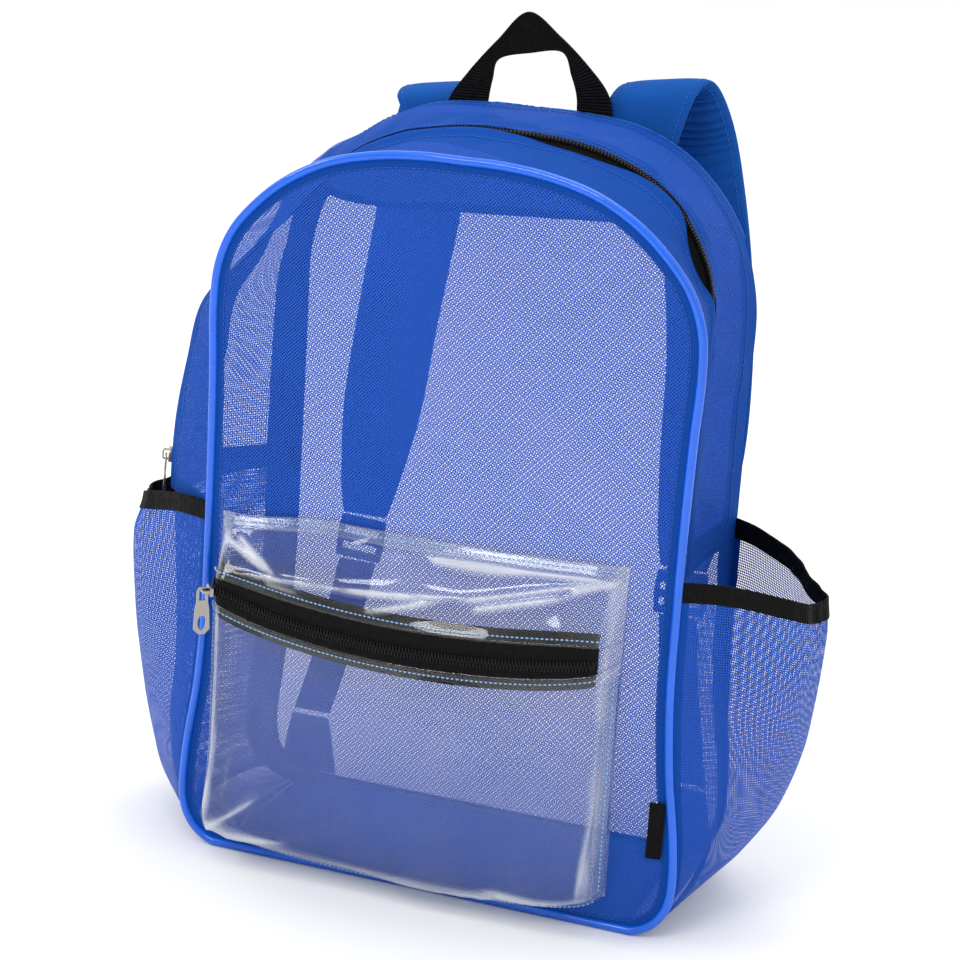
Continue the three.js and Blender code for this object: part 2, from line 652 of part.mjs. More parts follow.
// Flat band along a line, with its width and its face given by two directions.
function band(runs, centre, widthAt, halfWidthAt, thicknessAt, columns, thinning = 0) {
  const sheet = (side) => (run, a) => {
    const middle = centre(run);
    const along = centre(run + 0.02).sub(centre(run - 0.02)).normalize();
    const width = widthAt(along, run);
    const face = new THREE.Vector3().crossVectors(along, width).normalize();
    const crown = 1 - thinning * a ** 4;
    const lift = (side * thicknessAt(run) * crown) / 2;
    return middle.addScaledVector(width, a * halfWidthAt(run)).addScaledVector(face, lift);
  };
  return wall(sheet(1), sheet(-1), runs, columns);
}

const handleAt = curve(HANDLE);
const handleSheet = (offset) => (run, across) => {
  const [, outerX, outerZ, innerX, innerZ] = handleAt(run);
  const x = HANDLE_MIDDLE + lerp(innerX, outerX, across);
  return new THREE.Vector3(x, HANDLE_Y + offset, lerp(innerZ, outerZ, across));
};
const handleFront = handleSheet(-WEBBING_THICKNESS / 2);
const handleBack = handleSheet(WEBBING_THICKNESS / 2);
add('handle', wall(handleFront, handleBack, steps(0, 9, 27), [0, 1]), BLACK, 0.9);

// Shoulder straps, their lower webbing, adjusters and corner tabs.
// The left crest stands lower, the right strap hangs further out, and both crests rise towards the right.
const strapAt = curve(STRAP);
const webbingAt = curve(LOWER_WEBBING);
const strapRuns = steps(0, 11, 26);
const STRAP_COLUMNS = [-1, -0.75, 0, 0.75, 1];
for (const [name, side] of [['right', 1], ['left', -1]]) {
  const crest = side < 0 ? STRAP_CREST_LEFT : 0;
  const spread = side < 0 ? STRAP_SPREAD_LEFT : STRAP_SPREAD_RIGHT;
  const crestShare = (run) => Math.max(0, (strapAt(run)[3] - STRAP[0][3]) / (STRAP[3][3] - STRAP[0][3]));
  const strapLine = (run) => {
    const [, x, y, z] = strapAt(run);
    const out = x + spread * Math.sin(Math.PI * clamp((run - 2) / 8, 0, 1));
    return new THREE.Vector3(side * out, y, z + crest * crestShare(run) ** 2);
  };
  const across = () => new THREE.Vector3(1, 0, 0);
  const tilted = (along, run) => new THREE.Vector3(1, 0, STRAP_TILT * crestShare(run)).normalize();
  const strap = band(
    strapRuns, strapLine, tilted, (run) => strapAt(run)[4], (run) => strapAt(run)[5], STRAP_COLUMNS, 0.6,
  );
  add(`shoulder_strap_${name}`, strap, BLUE_CLOTH, 0.85);
  const webbingLine = (run) => {
    const [, x, y, z] = webbingAt(run);
    return new THREE.Vector3(side * x, y, z);
  };
  const webbing = band(
    steps(0, 3, 8), webbingLine, across, () => WEBBING_WIDTH / 2, () => WEBBING_THICKNESS, [-1, 1],
  );
  add(`strap_webbing_${name}`, webbing, BLACK, 0.9);
  const frame = new THREE.Shape();
  frame.moveTo(-16, -14);
  frame.lineTo(16, -14);
  frame.lineTo(17, 0);
  frame.lineTo(16, 13.5);
  frame.lineTo(-16, 13.5);
  frame.lineTo(-17, 0);
  const slots = [-9, 1].map((low) => {
    const slot = new THREE.Path();
    slot.moveTo(-13.5, low);
    slot.lineTo(-13.5, low + 5);
    slot.lineTo(13.5, low + 5);
    slot.lineTo(13.5, low);
    return slot;
  });
  frame.holes.push(...slots);
  const buckle = bare(new THREE.ExtrudeGeometry(frame, { depth: 4, bevelEnabled: false }));
  buckle.translate(0, 0, -2);
  const adjuster = add(`strap_adjuster_${name}`, buckle, BLACK, 0.5);
  const strapEnd = strapLine(11);
  const webbingEnd = webbingLine(0);
  const rise = strapEnd.clone().sub(webbingEnd).normalize();
  const level = new THREE.Vector3(rise.y, -rise.x, 0).negate().normalize();
  place(adjuster, strapEnd.clone().add(webbingEnd).multiplyScalar(0.5), level, rise);
  const tab = new THREE.Shape();
  tab.moveTo(-13, 20);
  tab.lineTo(13, 20);
  tab.lineTo(20, -18);
  tab.lineTo(-20, -18);
  const anchor = bare(new THREE.ExtrudeGeometry(tab, { depth: 2, bevelEnabled: false }));
  anchor.rotateX(Math.PI / 2);
  const corner = add(`strap_anchor_${name}`, anchor, BLUE_CLOTH, 0.85);
  corner.position.set(side * 130, DEPTH / 2 + 5, 21);
}

// Blank woven tab in the right-hand piping seam.
const label = new THREE.BoxGeometry(9, CLOTH, 35);
const tab = add('seam_label', label, BLACK, 0.9);
tab.position.set(146.5, frontY(146.5, 70) - CLOTH - 3 * GAP, 70);

export default backpack;
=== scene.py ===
"""Mesh backpack: a royal blue see-through day pack with a clear front pocket, dressed over its frame."""

import math

import bmesh
import bpy
import numpy as np
from bpy.props import FloatProperty, FloatVectorProperty, PointerProperty
from mathutils import Matrix, Vector


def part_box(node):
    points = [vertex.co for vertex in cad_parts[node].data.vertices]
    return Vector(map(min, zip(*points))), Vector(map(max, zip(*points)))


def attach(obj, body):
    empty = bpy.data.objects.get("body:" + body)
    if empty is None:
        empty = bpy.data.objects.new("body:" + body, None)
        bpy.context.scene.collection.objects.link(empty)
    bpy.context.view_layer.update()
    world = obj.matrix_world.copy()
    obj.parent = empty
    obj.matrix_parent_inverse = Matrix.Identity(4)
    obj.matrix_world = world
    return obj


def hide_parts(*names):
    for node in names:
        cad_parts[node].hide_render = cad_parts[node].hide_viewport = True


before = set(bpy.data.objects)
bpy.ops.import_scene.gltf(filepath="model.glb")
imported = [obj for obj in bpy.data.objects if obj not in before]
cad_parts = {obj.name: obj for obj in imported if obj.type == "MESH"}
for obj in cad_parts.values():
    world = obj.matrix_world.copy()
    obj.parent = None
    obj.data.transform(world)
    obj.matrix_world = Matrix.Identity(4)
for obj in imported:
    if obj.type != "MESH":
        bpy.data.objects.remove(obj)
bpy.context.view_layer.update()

bl_info = {
    "name": "Mesh backpack",
    "version": (1, 0, 0),
    "blender": (4, 5, 0),
    "location": "View3D > Sidebar > Backpack",
    "description": "Dresses the backpack's frame in mesh cloth, vinyl, webbing and metal",
    "category": "Add Mesh",
}

# Shapes are worked out in millimetres, in the frame of the part, and scaled once when a mesh is made.
MM = 0.001

# Body, and how its panels hang
DEPTH = 130.0
BODY_HEIGHT = 447.0
DOME_HALF_WIDTH = 150.0
FRONT_DOME = 16.0
BACK_DOME = 6.0
CLOTH = 1.2
GAP = 0.3
PIPING_RADIUS = 2.7
BASE_REACH = 128.0
YOKE_BOTTOM = 398.0
YOKE_SLANT = 0.06
FRONT_BIAS = 45.0
BACK_BIAS = 15.0
TOP_BLEND = 45.0
V_FRONT = (PIPING_RADIUS + GAP) / DEPTH
SEAM_TUCK = 0.012
V_EDGE = V_FRONT - SEAM_TUCK
# Front and back panels take the mesh colour this much lighter: painted light on their threads.
PANEL_PAINTED_LIGHT = 1.15
PANEL_HELD = 6.0
PANEL_FREE = 60.0
FRONT_SLACK = 0.5
BACK_SLACK = 0.4
YOKE_THICKNESS = 1.0
YOKE_LIFT = 0.6
YOKE_FADE = 136.0
BASE_THICKNESS = 1.6
SIDE_END_HEM = 10.0

# Open mesh: softness of a thread's edge, how closed the holes and threads are, and sway in pitches.
THREAD_EDGE = 0.2
HOLE_FILL = 0.06
THREAD_FILL = 0.998
THREAD_SWAY = 0.1

# Sewing
STITCH_RADIUS = 0.3
GUSSET_STITCH_RADIUS = 0.32
CLEAR_STITCH_RADIUS = 0.45
STITCH_INSET = 0.8
MESH_LIFT = 0.1

# Main zip, along the gusset
ZIP_END_HEIGHT = 212.0
ZIP_LINE = 0.385
ZIP_TAPE_WIDTH = 11.0
ZIP_TAPE_UNDER = 2.0
ZIP_SLIT = 1.5
ZIP_CLOSED = 505.0
ZIP_LIP = 2.3
COIL_LIFT = 0.45
COIL_REACH = 1.75
COIL_RISE = 0.65
COIL_WIRE = 0.46
COIL_OVERLAP = 0.5
COIL_POINTS = 8
COIL_SIDES = 6
TAPE_THICKNESS = 0.7
TAPE_SINK = 1.25
FRONT_STRIP_HEM = 30.0
BACK_STRIP_HEM = 26.0
STRIP_HEM_BLEND = 60.0
STRIP_END_HEM = 14.0

# Side pockets
POCKET_FOOT = 9.0
POCKET_TOP = 222.5
POCKET_SAG = 20.0
POCKET_SEAM_GAP = 0.8
BINDING_HEIGHT = 12.0
BINDING_THICKNESS = 2.0
GATHER_DEPTH = 2.4
GATHER_COUNT = 4
POCKET_SIDE_HEM = 5.0
POCKET_FOOT_HEM = 6.0
POCKET_OVERLAP = 3.0
ELASTIC_ROUND = 0.8

# Clear front pocket
VINYL_LEFT = -135.5
VINYL_RIGHT = 119.0
VINYL_FOOT = 8.0
VINYL_FOOT_RISE = 15.0
VINYL_TOP = 220.5
VINYL_TOP_RISE = 8.5
VINYL_TOP_REACH = 80.0
VINYL_DEPTH = 24.0
VINYL_ROUND = 14.0
VINYL_SHEET = 1.0
VINYL_ZIP_HEIGHT = 168.5
VINYL_ZIP_SMILE = 11.0
VINYL_ZIP_HALF = 10.5
VINYL_ZIP_TAPER = 1.0
VINYL_ZIP_END_TAPER = 3.5
VINYL_ZIP_FLAP = 8.0
VINYL_COIL_DROP = 2.2
VINYL_ZIP_RIGHT = 111.0
VINYL_ZIP_TAPE = 0.8
# Strength of the painted highlight along the clear sheet's side and foot folds.
VINYL_RIM_HIGHLIGHT = 1.6
VINYL_FLARE = 10.0
VINYL_FLARE_TOP = 95.0
VINYL_FLARE_REACH = 40.0
VINYL_WALL = 0.7
VINYL_HEM_WALL = 0.5
VINYL_HEM_RISE = 0.35
# Painted highlight along the cut edges of the clear hem strips.
VINYL_HEM_EDGE_HIGHLIGHT = 1.2
CLEAR_HAZE = 0.008
FOLDED_HAZE = 0.05
ZIP_STITCH_GAP = 3.4

# Handle and straps
HANDLE_MIDDLE = -6.5
HANDLE_Y = 67.4
WEBBING_THICKNESS = 1.8
WEBBING_WIDTH = 25.0
STRAP_CREST_LEFT = -17.0
STRAP_SPREAD_LEFT = -6.0
STRAP_SPREAD_RIGHT = 3.5
STRAP_TILT = 0.15
STRAP_PLEAT = 2.6
STRAP_STITCH_SHARE = 0.84
TAIL_THICKNESS = 1.6
TAB_THICKNESS = 1.4
TAB_MIDDLE = 130.0
HANDLE_TONE = 0.28
HANDLE_ROUND = 0.6
LABEL_THICKNESS = 0.8
METAL_ROUND = 0.3
PLASTIC_ROUND = 0.7

# Stage: floor's half width, point that the lamps face, and each lamp's place, width, height and power.
FLOOR_REACH = 40.0
LAMP_AIM = Vector((0, 0, 0.25))
LAMPS = (
    ("key box", (-2.1, -1.0, 2.1), 0.9, 0.9, 44.0),
    ("fill box", (2.2, -1.2, 1.3), 1.2, 1.2, 9.0),
    ("top box", (0.3, 0.6, 2.5), 1.4, 1.4, 28.0),
    ("front box", (-0.4, -1.9, 1.75), 0.9, 0.6, 34.0),
)

# Half outline, from the middle of the base round one side to the middle of the top.
# frontX, frontZ: front piping line. backX, backZ: back seam line.
OUTLINE = np.array([
    [0, 0, 0, 0],
    [70, 0, 70, 0],
    [121, 0.3, 120, 0.3],
    [140, 4, 138, 4],
    [151, 12, 149, 12],
    [157, 24, 154.5, 24],
    [158.4, 39, 156, 39],
    [156.5, 66, 154, 66],
    [151, 105, 150, 105],
    [147.5, 152, 148, 152],
    [146.8, 213, 147.5, 216],
    [147, 263, 147.5, 270],
    [147.8, 308, 147.5, 318],
    [149, 343, 147.5, 353],
    [147, 368, 143.5, 376],
    [138.5, 390, 136.5, 397],
    [123, 409, 126.5, 415],
    [104, 424.7, 113, 431],
    [80, 437, 94, 446.5],
    [52, 444, 66, 458.5],
    [25, 446.8, 34, 462.5],
    [0, 447, 0, 462.5],
])

# How far the cloth swells out between the front and back seams, by height.
# height, left: left side, right: right side, pocketLeft and pocketRight: side pockets,
# leftDip: how far the left side also dips in front of its middle and swells behind it.
SWELL = [
    [0, 0, 0, 0, 0, 0],
    [9, 16, 3, 17.5, 4.5, 0],
    [18, 25, 4, 30, 9, 0],
    [28, 32, 5, 40, 16, 0],
    [43, 37, 5, 47, 29, 0],
    [63, 40, 4, 56, 45, 0],
    [93, 42, 0, 67, 60, 0],
    [133, 46, -4, 75, 68, 0],
    [180, 50, -7.5, 78, 71, 0],
    [201, 51, -8.5, 71, 68.5, 0],
    [225, 52, -9, 68, 66, 0],
    [263, 49, -10, 68, 66, 0],
    [303, 41, -10, 68, 66, 0],
    [321, 37, -10, 68, 66, 0],
    [334, 31.5, -10, 68, 66, 0],
    [345, 23, -10, 68, 66, 0],
    [357, 12, -9, 68, 66, 2],
    [370, 5, -7, 68, 66, 6],
    [385, 0.5, -4.3, 68, 66, 9],
    [403, -2.7, -0.5, 68, 66, 11],
    [423, -4, 3.8, 68, 66, 9],
    [437, -3.5, 5.2, 68, 66, 5],
    [448, -0.6, 5.5, 68, 66, 2],
    [453, 2.5, 5.5, 68, 66, 1],
    [463, 5.5, 5.5, 68, 66, 0],
    [473, 5.5, 5.5, 68, 66, 0],
]

# Right shoulder strap: run, x, y, z of the middle line, halfWidth, thickness.
STRAP = [
    [0, 60, 70.6, 426, 25, 2.6],
    [1, 62, 71.2, 448, 26, 3.4],
    [2, 68, 75, 473, 27, 6],
    [3, 72, 86, 481.5, 27.5, 7],
    [4, 76, 98, 473.5, 28, 7.5],
    [5, 83, 107, 450, 28.5, 8],
    [6, 91, 112, 414, 28.5, 8],
    [7, 99, 116, 366, 28.5, 8],
    [8, 106, 116, 308, 28, 8],
    [9, 109, 110, 248, 27, 7.5],
    [10, 109, 100, 198, 20, 6],
    [11, 109, 95, 178, 15, 4],
]

# Lower webbing of the right strap: run, x, y, z.
LOWER_WEBBING = [
    [0, 110, 88.6, 147.6],
    [1, 115, 83, 113],
    [2, 124, 75.5, 68],
    [3, 130, 71.6, 44],
]

# Carry handle: run, outerX and outerZ of the outer edge, innerX and innerZ of the inner edge.
HANDLE = [
    [0, -53, 438, -27, 438],
    [1, -51.5, 460, -26, 461],
    [2, -40.5, 478, -24, 476],
    [3, -22.5, 500, -20.5, 488.5],
    [4, -4, 518.5, -1, 494],
    [5, 17.5, 505.5, 19, 496.5],
    [6, 36, 490, 26, 483],
    [7, 49.5, 475, 30, 472],
    [8, 53, 461, 31, 461],
    [9, 53, 438, 31, 438],
]

# Mouths where the main zip gapes: way round, reach, how far the front strip draws back and how far it sinks.
ZIP_MOUTHS = [
    [546, 21, 4.6, 5.0],
    [643, 42, 3.0, 3.0],
]

# Soft buckles in the gusset cloth: height, waves round the whole way, waves across, phase.
GUSSET_FOLDS = [
    [0.9, 19, 1.0, 0.4],
    [0.6, 31, -1.5, 2.1],
    [0.4, 53, 2.5, 4.0],
]

# Soft waves in the panels and the clear sheet: height, waves per metre along x and z, phase.
PANEL_WAVES = [
    [0.8, 7, 4, 0.5],
    [0.5, -11, 8, 1.9],
]
VINYL_WAVES = [
    [1.1, 7, 3, 0.6],
    [0.4, 15, -6, 2.0],
]

# Sharp creases in the clear sheet: from x, z to x, z, height and width.
# Each crease's height also sets a painted white highlight along its ridge.
VINYL_CREASES = [
    [-131, 20, -88, 58, 2.6, 2.2],
    [-131, 20, -62, 26, 2.4, 2.4],
    [-128, 30, -122, 105, 2.0, 2.0],
    [-118, 42, -112, 88, 1.4, 2.0],
    [108, 22, 113, 96, 1.8, 2.2],
    [106, 16, 40, 24, 2.2, 2.8],
    [60, 14, -20, 20, 1.8, 2.8],
    [-133, 209, -88, 193, 3.6, 1.7],
    [-122, 211, -86, 192, 3.2, 1.5],
    [-97, 189, -64, 186, 2.6, 1.6],
    [-128, 190, 22, 197, 2.5, 1.4],
    [-45, 193.5, 48, 203, 2.6, 1.4],
    [24, 198.5, 112, 220, 2.8, 1.4],
    [-34, 183, 22, 199, 2.8, 2.0],
    [30, 194.5, 102, 212, 3.0, 1.9],
    [113, 220, -5, 218, 3.2, 1.7],
    [0, 218.5, 66, 218, 3.2, 2.3],
    [88, 211, 118, 221, 2.8, 1.6],
]


def lerp(low, high, share):
    """Straight line from low to high."""
    return low + (high - low) * share


def smooth_step(low, high, value):
    """0 below low, 1 above high, and a smooth cubic between them."""
    t = np.clip((value - low) / (high - low), 0, 1)
    return t * t * (3 - 2 * t)


def unit(vectors):
    """Vectors scaled to length one."""
    return vectors / np.maximum(np.linalg.norm(vectors, axis=-1, keepdims=True), 1e-9)


def table_curve(table, at):
    """Cubic Hermite curve through a table's rows, by its first column; slopes join each row's neighbours."""
    rows = np.asarray(table, float)
    last = len(rows) - 1
    index = np.arange(len(rows))
    before = rows[np.maximum(index - 1, 0)]
    after = rows[np.minimum(index + 1, last)]
    slopes = (after - before) / (after[:, :1] - before[:, :1])
    at = np.asarray(at, float)
    piece = np.clip(np.searchsorted(rows[:, 0], at) - 1, 0, last - 1)
    span = (rows[piece + 1, 0] - rows[piece, 0])[..., None]
    t = np.clip((at[..., None] - rows[piece, :1]) / span, 0, 1)
    leave = t * (1 - t) ** 2 * span
    arrive = t * t * (t - 1) * span
    rise = t * t * (3 - 2 * t)
    return lerp(rows[piece], rows[piece + 1], rise) + slopes[piece] * leave + slopes[piece + 1] * arrive


# The way round the outline is counted along the front line, right side first.
_chords = np.hypot(np.diff(OUTLINE[:, 0]), np.diff(OUTLINE[:, 1]))
_ways = np.concatenate([[0], np.cumsum(_chords)])
HALF_WAY = _ways[-1]
WHOLE_WAY = 2 * HALF_WAY
_mirror = np.array([-1, 1, -1, 1])
ROUND = np.vstack([
    np.concatenate([[-_ways[1]], OUTLINE[1] * _mirror]),
    np.column_stack([_ways, OUTLINE]),
    np.concatenate([[WHOLE_WAY - _ways[-2]], OUTLINE[-2] * _mirror]),
])


def bow(x, z):
    """1 in the middle of a panel, falling as a parabola to 0 at its sides, top and bottom."""
    across = np.maximum(0, 1 - (x / DOME_HALF_WIDTH) ** 2)
    return across * np.maximum(0, 1 - (2 * z / BODY_HEIGHT - 1) ** 2)


def front_y(x, z):
    """Depth of the domed front panel."""
    return -DEPTH / 2 - FRONT_DOME * bow(x, z)


def back_y(x, z):
    """Depth of the domed back panel."""
    return DEPTH / 2 + BACK_DOME * bow(x, z)


def seam(way, v):
    """Point on the straight line from the front seam (v = 0) to the back seam (v = 1) at a way round."""
    way, v = np.broadcast_arrays(np.asarray(way, float), np.asarray(v, float))
    turn = np.mod(way, WHOLE_WAY)
    left = turn > HALF_WAY
    row = table_curve(ROUND, np.where(left, WHOLE_WAY - turn, turn))
    front_x, front_z, back_x, back_z = (row[..., k] for k in range(1, 5))
    x = np.where(left, -1, 1) * lerp(front_x, back_x, v)
    y = lerp(front_y(front_x, front_z), back_y(back_x, back_z), v)
    return np.stack([x, y, np.maximum(lerp(front_z, back_z, v), 0)], -1)


def outward(way, v):
    """Direction square to the outline, in the X-Z plane."""
    along = seam(way + 1, v) - seam(way - 1, v)
    return unit(np.stack([along[..., 2], np.zeros_like(along[..., 0]), -along[..., 0]], -1))


def gusset_folds(way, v):
    """Sum of sine waves round the way, dying out at the seams and at the zip."""
    free = np.clip(np.abs(v - ZIP_LINE) / 0.12, 0, 1) ** 2 * np.sin(np.pi * np.clip(v, 0, 1))
    turns = 2 * np.pi * way / WHOLE_WAY
    waves = sum(h * np.sin(n * turns + 2 * np.pi * m * v + p) for h, n, m, p in GUSSET_FOLDS)
    return free * waves


def gusset(way, v, lift, in_pocket=False):
    """Seam point pushed out by swell sin(pi v) less dip sin(2 pi v), plus a lift square to the outline."""
    way, v = np.broadcast_arrays(np.asarray(way, float), np.asarray(v, float))
    point = seam(way, v)
    normal = outward(way, v)
    push = unit(np.stack([normal[..., 0], normal[..., 1], np.maximum(normal[..., 2], 0)], -1))
    level = normal[..., 2] < -0.9999
    push[level] = 0
    left, right, pocket_left, pocket_right, dip = np.moveaxis(table_curve(SWELL, point[..., 2]), -1, 0)[1:]
    if in_pocket:
        bulge = np.where(point[..., 0] < 0, pocket_left, pocket_right) * np.sin(np.pi * v)
    else:
        share = smooth_step(0, TOP_BLEND, -point[..., 0])
        bulge = lerp(right, left, share) * np.sin(np.pi * v) - dip * share * np.sin(2 * np.pi * v)
    upright = np.clip(point[..., 2] / 30, 0, 1)
    rise = lift if in_pocket else lift + upright * gusset_folds(way, v)
    return point + push * bulge[..., None] + normal * np.asarray(rise)[..., None]


def zip_mouth(way, column):
    """Sum of bell curves along the zip, one for each mouth, as high as a column of its table."""
    return sum(row[column] * np.exp(-(((way - row[0]) / row[1]) ** 2)) for row in ZIP_MOUTHS)


def mouth_sink(way, v):
    """How far the cloth sinks in front of the zip at its mouths, fading to the zip and the front seam."""
    ahead = (ZIP_LINE - v) * DEPTH
    return zip_mouth(way, 3) * smooth_step(0, 5, ahead) * smooth_step(45, 10, ahead)


def strip_points(ways, seam_v, side, columns):
    """Gusset strip from its seam to the zip's gap, its edge lifted over the teeth except at the mouths."""
    mouth = zip_mouth(ways, 2)
    slit = ZIP_SLIT * lerp(0.15, 1, smooth_step(ZIP_CLOSED, ZIP_CLOSED + 18, ways))
    gap = slit + mouth * (1 if side < 0 else 0.3)
    v = lerp(seam_v, ZIP_LINE + side * gap[:, None] / DEPTH, columns[None])
    near = np.abs(v - ZIP_LINE) * DEPTH
    lip = ZIP_LIP * smooth_step(8, 3, near) * smooth_step(3, 0.5, mouth)[:, None]
    return gusset(ways[:, None], v, lip - 0.4 - mouth_sink(ways[:, None], v))


_climb = np.linspace(BASE_REACH, HALF_WAY, 4000)
_climb_z = seam(_climb, 0.0)[:, 2]


def way_at_height(height):
    """Way round, on the right side, at which the front line reaches a height."""
    return np.interp(height, _climb_z, _climb)


def to_left(way):
    """The same place on the left side."""
    return WHOLE_WAY - way


WAY_ZIP_END = float(way_at_height(ZIP_END_HEIGHT))


def sideways(x):
    """0 in the middle of the clear pocket, 1 at its sides."""
    middle = (VINYL_LEFT + VINYL_RIGHT) / 2
    half = (VINYL_RIGHT - VINYL_LEFT) / 2
    return np.minimum(np.abs(x - middle) / half, 1)


def vinyl_foot(x):
    """Height of the clear pocket's lower seam, which rises towards the sides."""
    side = sideways(x)
    return VINYL_FOOT + VINYL_FOOT_RISE * (0.45 * side ** 2 + 0.55 * side ** 8)


def vinyl_top(x):
    """Height of the clear pocket's upper seam, which drops towards its left end."""
    return VINYL_TOP + VINYL_TOP_RISE * smooth_step(0, VINYL_TOP_REACH, x - VINYL_LEFT)


def zip_middle(x):
    """Height of the pocket zip, which rises towards the sides."""
    return VINYL_ZIP_HEIGHT + VINYL_ZIP_SMILE * sideways(x) ** 2


def zip_half(x):
    """Half the height of the pocket zip's gap, which narrows towards its ends."""
    side = sideways(x)
    return VINYL_ZIP_HALF - VINYL_ZIP_TAPER * side ** 2 - VINYL_ZIP_END_TAPER * side ** 8


def zip_low(x):
    """Lower edge of the pocket zip's gap."""
    return zip_middle(x) - zip_half(x)


def zip_high(x):
    """Upper edge of the pocket zip's gap."""
    return zip_middle(x) + zip_half(x)


def zip_teeth(x):
    """Height of the pocket zip's teeth, a little below the middle except at the left end."""
    return zip_middle(x) - VINYL_COIL_DROP * smooth_step(VINYL_LEFT + 12, VINYL_LEFT + 60, x)


def vinyl_y(x, z):
    """Depth of the clear sheet: a cubic rise from its side and foot seams, and a slope back above the zip."""
    side = np.clip(np.minimum(x - VINYL_LEFT, VINYL_RIGHT - x) / VINYL_ROUND, 0, 1)
    foot = np.clip((z - vinyl_foot(x)) / VINYL_ROUND, 0, 1)
    slope = np.clip((vinyl_top(x) - z) / (vinyl_top(x) - zip_high(x)), 0, 1)
    stand = (1 - (1 - side) ** 3) * (1 - (1 - foot) ** 3) * slope
    return front_y(x, z) - CLOTH / 2 - 2 * GAP - VINYL_DEPTH * stand


def vinyl_normal(x, z):
    """Outward direction of the clear sheet, from its slopes over one millimetre."""
    x = np.clip(x, VINYL_LEFT + 0.6, VINYL_RIGHT - 0.6)
    z = np.clip(z, vinyl_foot(x) + 0.6, vinyl_top(x) - 0.6)
    slope_x = vinyl_y(x + 0.5, z) - vinyl_y(x - 0.5, z)
    slope_z = vinyl_y(x, z + 0.5) - vinyl_y(x, z - 0.5)
    return unit(np.stack([slope_x, -np.ones_like(slope_x), slope_z], -1))


def vinyl_point(x, z, lift):
    """Point of the clear sheet lifted along its normal; the lower left corner spreads outward."""
    x, z, lift = np.broadcast_arrays(np.asarray(x, float), np.asarray(z, float), np.asarray(lift, float))
    near = np.clip(1 - (x - VINYL_LEFT) / VINYL_FLARE_REACH, 0, 1)
    low = np.clip((VINYL_FLARE_TOP - z) / VINYL_FLARE_TOP, 0, 1)
    point = np.stack([x - VINYL_FLARE * near ** 2 * low ** 2, vinyl_y(x, z), z], -1)
    return point + vinyl_normal(x, z) * lift[..., None]


def vinyl_creases(x, z):
    """Height of the creases, each a ridge that falls off as exp(-distance / width) and fades at its ends."""
    height = np.zeros_like(x)
    for x0, z0, x1, z1, tall, wide in VINYL_CREASES:
        along = np.array([x1 - x0, z1 - z0])
        share = ((x - x0) * along[0] + (z - z0) * along[1]) / (along @ along)
        away = np.abs((x - x0) * along[1] - (z - z0) * along[0]) / np.sqrt(along @ along)
        fade = smooth_step(-0.02, 0.15, share) * smooth_step(1.02, 0.6, share)
        height = height + tall * fade * np.exp(-away / wide)
    return height


def vinyl_rim_highlight(x, z):
    """Painted highlight along the side and foot folds of the clear sheet, falling to 0 further in."""
    inside = np.minimum(np.minimum(x - VINYL_LEFT, VINYL_RIGHT - x), 0.8 * (z - vinyl_foot(x)))
    return VINYL_RIM_HIGHLIGHT * smooth_step(13, 5, inside + 1.5 * np.sin(z / 9) + 1.5 * np.sin(x / 13))


def vinyl_slack(x, z):
    """0 along the seams and the zip of the clear sheet, 1 away from them."""
    edge = np.minimum(x - VINYL_LEFT, VINYL_RIGHT - x)
    foot = z - vinyl_foot(x)
    tape = np.maximum(z - zip_high(x), zip_low(x) - z)
    free = np.minimum(np.minimum(edge, foot), np.minimum(tape, vinyl_top(x) - z))
    return smooth_step(0, 9, free)


def wave_sum(table, x, z):
    """Sum of plane sine waves over x and z in millimetres."""
    return sum(h * np.sin(2 * np.pi * (nx * x + nz * z) * MM + p) for h, nx, nz, p in table)


def grid_faces(rows, columns, wrap_rows=False, wrap_columns=False):
    """Quads between the neighbouring points of a grid."""
    index = np.arange(rows * columns).reshape(rows, columns)
    if wrap_rows:
        index = np.vstack([index, index[:1]])
    if wrap_columns:
        index = np.hstack([index, index[:, :1]])
    corners = [index[:-1, :-1], index[1:, :-1], index[1:, 1:], index[:-1, 1:]]
    return np.stack(corners, -1).reshape(-1, 4)


def grid_lengths(points):
    """Distances along the rows and the columns of a grid of points, in millimetres."""
    down = np.linalg.norm(np.diff(points, axis=0), axis=2).mean(1)
    along = np.concatenate([[0], np.cumsum(down)])[:, None]
    steps = np.linalg.norm(np.diff(points, axis=1), axis=2)
    across = np.concatenate([np.zeros((len(points), 1)), np.cumsum(steps, axis=1)], axis=1)
    return np.broadcast_to(along, across.shape), across


def line_lengths(points):
    """Distance along a line of points, from 0 at its start."""
    return np.concatenate([[0], np.cumsum(np.linalg.norm(np.diff(points, axis=0), axis=1))])


def read_line(at, gone, rows):
    """Places or directions on a line, read off at distances along it."""
    return np.stack([np.interp(at, gone, rows[:, k]) for k in range(3)], -1)


def outward_faces(points, faces):
    """Faces of a closed form, turned round if they enclose a negative volume."""
    a, b, c, d = (points[faces[:, k]] for k in range(4))
    volume = (a * np.cross(b, c)).sum() + (a * np.cross(c, d)).sum()
    return faces[:, ::-1] if volume < 0 else faces


